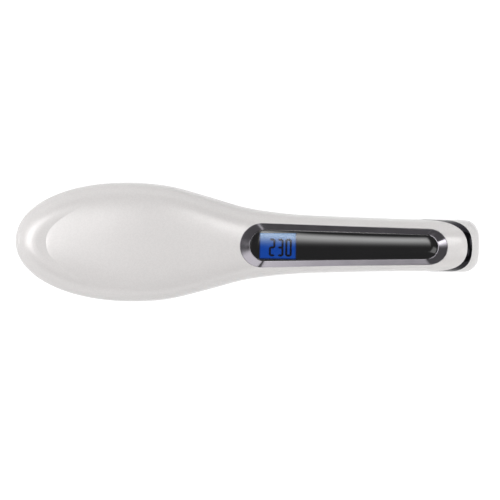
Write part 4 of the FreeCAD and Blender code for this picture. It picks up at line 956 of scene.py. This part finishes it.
    def open_window(self, bm: bmesh.types.BMesh) -> None:
        """Cut the window's outline into the lens and give what is inside it the clear finish.

        Args:
            bm: The lens's bmesh, in millimetres.
        """
        x0, x1, y0, y1 = self.window
        cuts = ((Vector((x0, 0, 0)), Vector((1, 0, 0))), (Vector((x1, 0, 0)), Vector((1, 0, 0))),
                (Vector((0, y0, 0)), Vector((0, 1, 0))), (Vector((0, y1, 0)), Vector((0, 1, 0))))
        for place, across in cuts:
            geom = [*bm.verts, *bm.edges, *bm.faces]
            bmesh.ops.bisect_plane(bm, geom=geom, plane_co=place, plane_no=across,
                                   dist=WELD_MM)
        for face in bm.faces:
            middle = face.calc_center_median()
            if x0 < middle.x < x1 and y0 < middle.y < y1:
                face.material_index = 1


@dataclass(frozen=True)
class Display(SubAssembly):
    """The display behind the lens, and the temperature that it shows."""

    reading: str = "230"
    first_x: float = 12.3         # left edge of the first digit
    pitch: float = 4.75
    width: float = 3.8
    top_y: float = 3.9
    bottom_y: float = -6.4
    stroke: float = 1.25
    gap: float = 0.08             # between neighbouring segments
    thick: float = 0.05
    upright_tip: float = 0.1      # how far an upright segment runs on, as a share of the stroke
    level_tip: float = 0.3        # and a level one

    def finishes(self) -> Mapping[str, Finish]:
        """Return the finish of every frame node that keeps its shape."""
        return {"lcd_glass": CELL_WITH_PAINTED_REFLECTION, "lcd_frame": NATURAL, "lcd_backlight": GUIDE,
                "display_board": BOARD, "driver_chip": PACKAGE, "ribbon_cable": RIBBON}

    def pieces(self, nodes: Nodes) -> list[bpy.types.Object]:
        """Build the lit segments of every digit as one piece.

        Args:
            nodes: The frame's nodes by name. Not used.

        Returns:
            That piece alone.
        """
        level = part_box("lcd_glass")[1].z / MM
        bm = bmesh.new()
        for place, digit in enumerate(self.reading):
            for segment in LIT[digit]:
                self.bar(bm, self.first_x + place * self.pitch, segment, level)
        return [as_piece("display_digits", bm, [SEGMENTS], Body.BRUSH)]

    def bar(self, bm: bmesh.types.BMesh, left: float, segment: "Segment", level: float) -> None:
        """Add one segment: a hexagonal bar, lying on the cell.

        Args:
            bm: The bmesh to add to.
            left: X of the digit's left edge.
            segment: Which segment.
            level: The height of the cell's face.
        """
        half = (self.top_y - self.bottom_y) / 2
        inner = self.width - self.stroke
        column, row, upright = segment.value
        length = (half + self.stroke * self.upright_tip if upright
                  else inner + self.stroke * self.level_tip) - 2 * self.gap
        centre = Vector((left + self.stroke / 2 + column * inner,
                         self.bottom_y + self.stroke / 2 + row * (2 * half - self.stroke), level))
        shape = bmesh.ops.create_circle(bm, cap_ends=True, segments=6, radius=1.0)["verts"]
        for vert in shape:
            tip = abs(vert.co.y) > 0.75   # two of the circle's six points
            reach = length / 2 if tip else (length - self.stroke) / 2
            vert.co = Vector((0.0 if tip else math.copysign(self.stroke / 2, vert.co.x),
                              math.copysign(reach, vert.co.y), 0.0))
        if not upright:
            bmesh.ops.rotate(bm, cent=(0, 0, 0), matrix=Matrix.Rotation(math.pi / 2, 3, "Z"),
                             verts=shape)
        bmesh.ops.translate(bm, vec=centre, verts=shape)
        faces = list({face for vert in shape for face in vert.link_faces})
        raised = bmesh.ops.extrude_face_region(bm, geom=faces, use_keep_orig=True)["geom"]
        bmesh.ops.translate(bm, vec=(0, 0, self.thick),
                            verts=[item for item in raised if isinstance(item, bmesh.types.BMVert)])


class Segment(Enum):
    """A digit's segments, each as its column, its row and whether it stands upright."""

    TOP = (0.5, 1.0, False)
    UPPER_RIGHT = (1.0, 0.75, True)
    LOWER_RIGHT = (1.0, 0.25, True)
    BOTTOM = (0.5, 0.0, False)
    LOWER_LEFT = (0.0, 0.25, True)
    UPPER_LEFT = (0.0, 0.75, True)
    MIDDLE = (0.5, 0.5, False)


LIT: Mapping[str, Sequence[Segment]] = {
    "2": (Segment.TOP, Segment.UPPER_RIGHT, Segment.MIDDLE, Segment.LOWER_LEFT, Segment.BOTTOM),
    "3": (Segment.TOP, Segment.UPPER_RIGHT, Segment.MIDDLE, Segment.LOWER_RIGHT, Segment.BOTTOM),
    "0": (Segment.TOP, Segment.UPPER_RIGHT, Segment.LOWER_RIGHT, Segment.BOTTOM,
          Segment.LOWER_LEFT, Segment.UPPER_LEFT),
}


class Symbol(Enum):
    """What is printed on a key."""

    POWER = "power"
    PLUS = "plus"
    MINUS = "minus"


@dataclass(frozen=True)
class Keypad(SubAssembly):
    """The three keys on the underside, with their printed symbols, switches and board."""

    places: tuple[tuple[Symbol, Body, float], ...] = (
        (Symbol.POWER, Body.POWER, 12.0), (Symbol.PLUS, Body.PLUS, 26.0),
        (Symbol.MINUS, Body.MINUS, 40.0))
    reach: float = 1.8            # from a symbol's middle to its ends
    line: float = 0.5
    ink: float = 0.03             # how far the print stands out of the key
    sunk: float = 0.04            # and how far it reaches into it
    sign: float = 1.2             # width of plus and minus, as a share of the power symbol's line
    stem: tuple[float, float] = (0.62, 0.8)   # the power symbol's stem: middle and length, shares
    opening: tuple[float, float] = (125.0, 290.0)   # its ring's start and sweep, in degrees
    arc_steps: int = 36

    def finishes(self) -> Mapping[str, Finish]:
        """Name the finish of every frame node that keeps its shape.

        Returns:
            Each node's finish, by its name.
        """
        keys = {f"{symbol.value}_button": KEY for symbol in Symbol}
        plungers = {f"{symbol.value}_plunger": PLUNGER for symbol in Symbol}
        return {"key_bezel": INSET, "button_board": BOARD, "board_screws": ZINC,
                "switch_bodies": SWITCH, **keys, **plungers}

    def pieces(self, nodes: Nodes) -> list[bpy.types.Object]:
        """Build and return the printed symbols."""
        return [self.symbol(symbol, body, x, nodes[f"{symbol.value}_button"])
                for symbol, body, x in self.places]

    def symbol(self, symbol: Symbol, body: Body, x: float,
               key: bpy.types.Object) -> bpy.types.Object:
        """Print one symbol on its key.

        Args:
            symbol: Which symbol.
            body: The key's body.
            x: The key's place along the brush.
            key: The key's node, whose underside the print follows.

        Returns:
            The piece.
        """
        bm = bmesh.new()
        if symbol is Symbol.POWER:
            self.arc(bm)
            middle, length = self.stem
            self.bar(bm, (0.0, self.reach * middle), (self.line, self.reach * length))
        else:
            self.bar(bm, (0.0, 0.0), (2 * self.reach, self.line * self.sign))
        if symbol is Symbol.PLUS:
            self.bar(bm, (0.0, 0.0), (self.line * self.sign, 2 * self.reach))
        bmesh.ops.translate(bm, vec=(x, 0, 0), verts=bm.verts)
        tree = BVHTree.FromObject(key, bpy.context.evaluated_depsgraph_get())
        for vert in bm.verts:
            below = Vector((vert.co.x * MM, vert.co.y * MM, -1.0))
            surface = tree.ray_cast(below, Vector((0, 0, 1)))[0].z / MM
            vert.co.z = surface + (self.sunk if vert.co.z > 0 else -self.ink)
        return as_piece(f"{symbol.value}_symbol", bm, [PRINT], body)

    def bar(self, bm: bmesh.types.BMesh, centre: tuple[float, float],
            size: tuple[float, float]) -> None:
        """Add a straight line of print, a slab from -1 to 1 in height.

        Args:
            bm: The bmesh to add to.
            centre: Its middle.
            size: Its extents along X and Y.
        """
        verts = bmesh.ops.create_cube(bm, size=1.0)["verts"]
        bmesh.ops.scale(bm, vec=(size[0], size[1], 2.0), verts=verts)
        bmesh.ops.translate(bm, vec=(centre[0], centre[1], 0.0), verts=verts)

    def arc(self, bm: bmesh.types.BMesh) -> None:
        """Add the power symbol's open ring, a section spun round from one end to the other.

        Args:
            bm: The bmesh to add to.
        """
        section = bmesh.ops.create_grid(bm, x_segments=1, y_segments=1, size=0.5)["verts"]
        bmesh.ops.scale(bm, vec=(self.line, 2.0, 1.0), verts=section)
        bmesh.ops.rotate(bm, cent=(0, 0, 0), matrix=Matrix.Rotation(math.pi / 2, 3, "X"),
                         verts=section)
        bmesh.ops.translate(bm, vec=(self.reach - self.line / 2, 0, 0), verts=section)
        start, sweep = [math.radians(angle) for angle in self.opening]
        bmesh.ops.rotate(bm, cent=(0, 0, 0), matrix=Matrix.Rotation(start, 3, "Z"), verts=section)
        faces = list({face for vert in section for face in vert.link_faces})
        bmesh.ops.spin(bm, geom=faces + section, cent=(0, 0, 0), axis=(0, 0, 1),
                       angle=sweep, steps=self.arc_steps, use_duplicate=False)


@dataclass(frozen=True)
class CombHead(SubAssembly):
    """The comb frame with its bristles, and the screws that hold it."""

    screws: tuple[tuple[float, float], ...] = ((-127.0, 0.0), (-22.5, 0.0), (-70.0, 25.0),
                                               (-70.0, -25.0))
    head_radius: float = 2.4
    head_height: float = 1.6
    dome: Stations = ((0.0, 0.0), (1.3, 0.05), (1.95, 0.24))   # radius and height of its crown
    dome_height: float = 0.7      # faces of the dome have their middles below this
    shank_radius: float = 1.25
    steps: int = 48
    recess: tuple[float, float, float] = (2.6, 0.7, 0.9)   # the cross's length, width and depth
    taper: float = 0.8            # size of the cross's floor, as a share of its mouth

    def finishes(self) -> Mapping[str, Finish]:
        """Return the finish of every frame node that keeps its shape."""
        return {"comb_frame": COMB, "heated_bristles": COATED, "bristle_tips": TIPS,
                "cool_bristles": COOL}

    def pieces(self, nodes: Nodes) -> list[bpy.types.Object]:
        """Build the frame screws, with their cross recesses.

        Args:
            nodes: The frame's nodes by name. Not used.

        Returns:
            The screws, as one piece.
        """
        low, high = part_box("frame_screws")
        bm = self.screw((high.z - low.z) / MM)
        first = list(bm.verts) + list(bm.edges) + list(bm.faces)
        for x, y in self.screws[1:]:
            copied = bmesh.ops.duplicate(bm, geom=first)["geom"]
            verts = [item for item in copied if isinstance(item, bmesh.types.BMVert)]
            bmesh.ops.translate(bm, vec=(x - self.screws[0][0], y - self.screws[0][1], 0),
                                verts=verts)
        bmesh.ops.translate(bm, vec=(*self.screws[0], low.z / MM), verts=bm.verts)
        made = as_piece("cross_head_screws", bm, [ZINC], Body.BRUSH,
                        ["frame_screws"], crease=30.0)
        return [made]

    def screw(self, length: float) -> bmesh.types.BMesh:
        """Make one screw: a domed head with a cross recess, seen from below, and a shank.

        Args:
            length: From the head's lowest point, at the origin, to the shank's end.

        Returns:
            The bmesh, in millimetres.
        """
        bm = bmesh.new()
        outline = [*self.dome, (self.head_radius - 0.06, 0.62), (self.head_radius, 0.85),
                   (self.head_radius, self.head_height), (self.shank_radius, self.head_height),
                   (self.shank_radius, length - 0.8), (0.35, length - 0.02), (0.0, length)]
        verts = [bm.verts.new((radius, 0.0, height)) for radius, height in outline]
        edges = [bm.edges.new(pair) for pair in zip(verts, verts[1:])]
        bmesh.ops.spin(bm, geom=verts + edges, cent=(0, 0, 0), axis=(0, 0, 1),
                       angle=2 * math.pi, steps=self.steps, use_merge=True, use_duplicate=False)
        bmesh.ops.remove_doubles(bm, verts=bm.verts, dist=WELD_MM)
        self.press_recess(bm)
        return bm

    def press_recess(self, bm: bmesh.types.BMesh) -> None:
        """Press the cross into the head's middle: its outline is cut in, then sunk.

        Args:
            bm: The screw's bmesh.
        """
        reach, across, depth = self.recess[0] / 2, self.recess[1] / 2, self.recess[2]
        for place in (-reach, -across, across, reach):
            for axis in (Vector((1, 0, 0)), Vector((0, 1, 0))):
                near = [face for face in bm.faces
                        if face.calc_center_median().z < self.dome_height]
                geom = near + list({item for face in near for item in (*face.verts, *face.edges)})
                bmesh.ops.bisect_plane(bm, geom=geom, plane_co=axis * place, plane_no=axis,
                                       dist=WELD_MM)
        inside = []
        for face in bm.faces:
            middle = face.calc_center_median()
            short, long = sorted((abs(middle.x), abs(middle.y)))
            if middle.z < self.dome_height and short < across and long < reach:
                inside.append(face)
        sunk = bmesh.ops.extrude_face_region(bm, geom=inside)["geom"]
        floor = [item for item in sunk if isinstance(item, bmesh.types.BMVert)]
        for vert in floor:
            vert.co = Vector((vert.co.x * self.taper, vert.co.y * self.taper, depth))


@dataclass(frozen=True)
class Heating(SubAssembly):
    """The heat plate and what warms, guards and senses it."""

    def finishes(self) -> Mapping[str, Finish]:
        """Return the finish of every frame node that keeps its shape."""
        return {"heat_plate": PLATE, "ceramic_heaters": ALUMINA, "mica_sheet": MICA,
                "heater_clamp": SPRING, "plate_screws": ZINC, "heat_shield": SHIELD,
                "thermistor": BEAD, "thermal_fuse": TINNED, "heater_leads": LEAD_RED,
                "sensor_leads": LEAD_WHITE}


@dataclass(frozen=True)
class PowerBoard(SubAssembly):
    """The board that switches the mains to the heaters, with its components."""

    def finishes(self) -> Mapping[str, Finish]:
        """Return the finish of every frame node that keeps its shape."""
        return {"power_board": BOARD, "terminal_blocks": TERMINAL, "film_capacitor": FILM,
                "smoothing_capacitor": SLEEVE, "triac": PACKAGE, "triac_heatsink": EXTRUDED,
                "mains_fuse": FUSE, "mains_leads": LEAD_BLACK}


@dataclass(frozen=True)
class CordSwivel(SubAssembly):
    """The turning gland at the end of the handle, with its rings and contacts."""

    def finishes(self) -> Mapping[str, Finish]:
        """Return the finish of every frame node that keeps its shape."""
        return {"swivel_gland": GLAND, "slip_rings": BRASS, "gland_retainer": NATURAL,
                "contact_springs": BRONZE, "contact_block": PHENOLIC}


# ---------------------------------------------------------------- studio
BRUSH_MIDDLE = (0.0, 0.0, 0.03)   # where most lamps aim, in metres


@dataclass(frozen=True)
class Softbox:
    """A rectangular lamp whose diffuser is brightest in its middle."""

    name: str
    place: tuple[float, float, float]
    aim: tuple[float, float, float]
    size: tuple[float, float]     # level side and other side
    radiance: float               # at its middle
    softness: tuple[float, float] = (0.6, 0.6)   # how fast it fades towards its edges
    mirrored: bool = True         # whether it shows in mirrors and through glass

    def build(self) -> None:
        """Make the lamp and aim it."""
        lamp = bpy.data.lights.new(self.name, "AREA")
        lamp.shape = "RECTANGLE"
        lamp.size, lamp.size_y = self.size
        lamp.energy = self.radiance * math.pi * self.size[0] * self.size[1]
        lamp.use_nodes = True
        tree = lamp.node_tree
        spot = add_node(tree, "ShaderNodeNewGeometry").outputs["Parametric"]
        fade = falloff(tree, spot, [(0.5, 0.5, 0.5 * (1 - softness)) for softness in self.softness])
        tree.links.new(fade, tree.nodes["Emission"].inputs["Strength"])
        made = bpy.data.objects.new(self.name, lamp)
        bpy.context.scene.collection.objects.link(made)
        made.location = self.place
        made.visible_glossy = made.visible_transmission = self.mirrored
        made.rotation_euler = (Vector(self.aim) - Vector(self.place)).to_track_quat(
            "-Z", "Y").to_euler()


@dataclass(frozen=True)
class Studio:
    """The floor, the backdrop round it, the lamps and the room's dim light."""

    floor_radius: float = 3.2
    wall_height: float = 1.5
    sweep: float = 0.5            # radius of the curve between floor and wall
    sweep_steps: int = 8
    around: int = 96
    paper: str = "#F2F2F2"
    paper_drift: float = 0.02     # how much its tone wanders
    paper_scale: float = 40.0     # features in a metre
    paper_glow: float = 0.9       # how bright the backdrop shows by itself
    shadow: float = 0.22          # how much of the light on it shows besides
    room: float = 0.15
    softboxes: tuple[Softbox, ...] = (
        Softbox("overhead_bank", (0.23, 0.4, 1.0), (0.23, 0.4, 0.0), (0.28, 1.0), 3.4, (0.2, 1.0)),
        Softbox("front_card", (0.62, -0.31, 1.0), BRUSH_MIDDLE, (0.5, 0.44), 1.15, (0.3, 0.25)),
        Softbox("left_bank", (-0.755, 0.1, 0.75), BRUSH_MIDDLE, (1.3, 1.3), 4.0, (0.7, 1.0)),
        Softbox("right_lamp", (0.8, 0.2, 0.45), (0.1, 0.0, 0.03), (0.6, 0.5), 2.0, (0.8, 0.8)),
        Softbox("far_fill", (0.0, 1.2, 0.5), BRUSH_MIDDLE, (2.0, 0.8), 0.1, mirrored=False),
        Softbox("tail_fill", (0.35, -0.2, 0.45), (0.12, 0.0, 0.03), (0.4, 0.4), 3.2,
                mirrored=False),
        Softbox("top_fill", (0.0, 0.0, 1.3), BRUSH_MIDDLE, (2.0, 2.0), 0.87, mirrored=False),
    )

    def build(self) -> None:
        """Make the world, the backdrop and the lamps."""
        world = bpy.data.worlds.new("dim_room")
        world.use_nodes = True
        world.node_tree.nodes["Background"].inputs["Color"].default_value = linear("#FFFFFF")
        world.node_tree.nodes["Background"].inputs["Strength"].default_value = self.room
        bpy.context.scene.world = world
        self.backdrop()
        for softbox in self.softboxes:
            softbox.build()
        LOG.info("studio: backdrop and %d softboxes", len(self.softboxes))

    def backdrop(self) -> None:
        """Spin the floor, its sweep and the wall as one sheet of paper."""
        bm = bmesh.new()
        turns = [math.radians(90 * i / self.sweep_steps) for i in range(self.sweep_steps + 1)]
        outline = [(0.0, 0.0), (self.floor_radius / 2, 0.0)]
        outline += [(self.floor_radius - self.sweep + self.sweep * math.sin(a),
                     self.sweep * (1 - math.cos(a))) for a in turns]
        outline.append((self.floor_radius, self.wall_height))
        verts = [bm.verts.new((radius, 0.0, height)) for radius, height in outline]
        edges = [bm.edges.new(pair) for pair in zip(verts, verts[1:])]
        bmesh.ops.spin(bm, geom=verts + edges, cent=(0, 0, 0), axis=(0, 0, 1), angle=2 * math.pi,
                       steps=self.around, use_merge=True, use_duplicate=False)
        bmesh.ops.remove_doubles(bm, verts=bm.verts, dist=1e-6)
        mesh = bpy.data.meshes.new("paper_backdrop")
        bm.to_mesh(mesh)
        bm.free()
        mesh.shade_smooth()
        mesh.materials.append(self.paper_material())
        link("paper_backdrop", mesh)

    def paper_material(self) -> bpy.types.Material:
        """Make white paper that shows white, and keeps a faint shadow of the brush.

        Returns:
            The material.
        """
        made = bpy.data.materials.new("white_studio_paper")
        made.use_nodes = True
        tree = made.node_tree
        tree.nodes.clear()
        place = add_node(tree, "ShaderNodeTexCoord").outputs["Object"]
        grain = add_node(tree, "ShaderNodeTexNoise", {"Scale": self.paper_scale},
                         {"Vector": place})
        colour = linear(self.paper)
        tone = add_node(tree, "ShaderNodeMix", {6: shaded(colour, 1 - self.paper_drift), 7: colour},
                        {0: grain.outputs["Fac"]}, data_type="RGBA").outputs[2]
        paper = add_node(tree, "ShaderNodeBsdfDiffuse", None, {"Color": tone})
        faint = add_node(tree, "ShaderNodeBsdfDiffuse", {"Color": (*[self.shadow] * 3, 1.0)})
        glow = add_node(tree, "ShaderNodeEmission", {"Strength": self.paper_glow})
        shown = add_node(tree, "ShaderNodeAddShader", None, {0: faint.outputs[0],
                                                             1: glow.outputs[0]})
        rays = add_node(tree, "ShaderNodeLightPath")
        seen = rays.outputs["Is Camera Ray"]
        for kind in ("Is Glossy Ray", "Is Transmission Ray"):
            seen = add_node(tree, "ShaderNodeMath", None, {0: seen, 1: rays.outputs[kind]},
                            operation="MAXIMUM").outputs[0]
        mixed = add_node(tree, "ShaderNodeMixShader", None,
                         {0: seen, 1: paper.outputs[0], 2: shown.outputs[0]})
        add_node(tree, "ShaderNodeOutputMaterial", None, {"Surface": mixed.outputs[0]})
        return made


@dataclass(frozen=True)
class StudioCamera:
    """A long lens above the brush, leaning a little to its far side and rolled a little."""

    lens_mm: float = 200.0
    frame_width: float = 0.2922   # what the frame's width spans at the brush
    centre: tuple[float, float, float] = (0.00146, -0.00397, 0.02)
    lean: float = 4.0             # degrees from straight above, towards +Y
    roll: float = 0.83            # degrees

    def build(self) -> None:
        """Make the camera and make it the scene's."""
        data = bpy.data.cameras.new("studio_camera")
        data.lens = self.lens_mm
        data.clip_end = 50.0
        made = bpy.data.objects.new("studio_camera", data)
        bpy.context.scene.collection.objects.link(made)
        away = Vector((0.0, 0.0, self.frame_width * self.lens_mm / data.sensor_width))
        made.rotation_euler = (-math.radians(self.lean), 0.0, math.radians(self.roll))
        made.location = Vector(self.centre) + made.rotation_euler.to_matrix() @ away
        bpy.context.scene.camera = made


SUB_ASSEMBLIES: Sequence[SubAssembly] = (
    Covers(), ControlPanel(), Display(), Keypad(), CombHead(), Heating(), PowerBoard(),
    CordSwivel())


def main() -> None:
    """Load the frame, dress it, build the new pieces and light the whole."""
    logging.basicConfig(level=logging.INFO, format="%(name)s: %(message)s")
    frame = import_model()
    for part in SUB_ASSEMBLIES:
        part.build(frame["nodes"])
    StudioCamera().build()
    Studio().build()
    bpy.context.scene.view_settings.view_transform = "Standard"


if __name__ == "__main__":
    main()
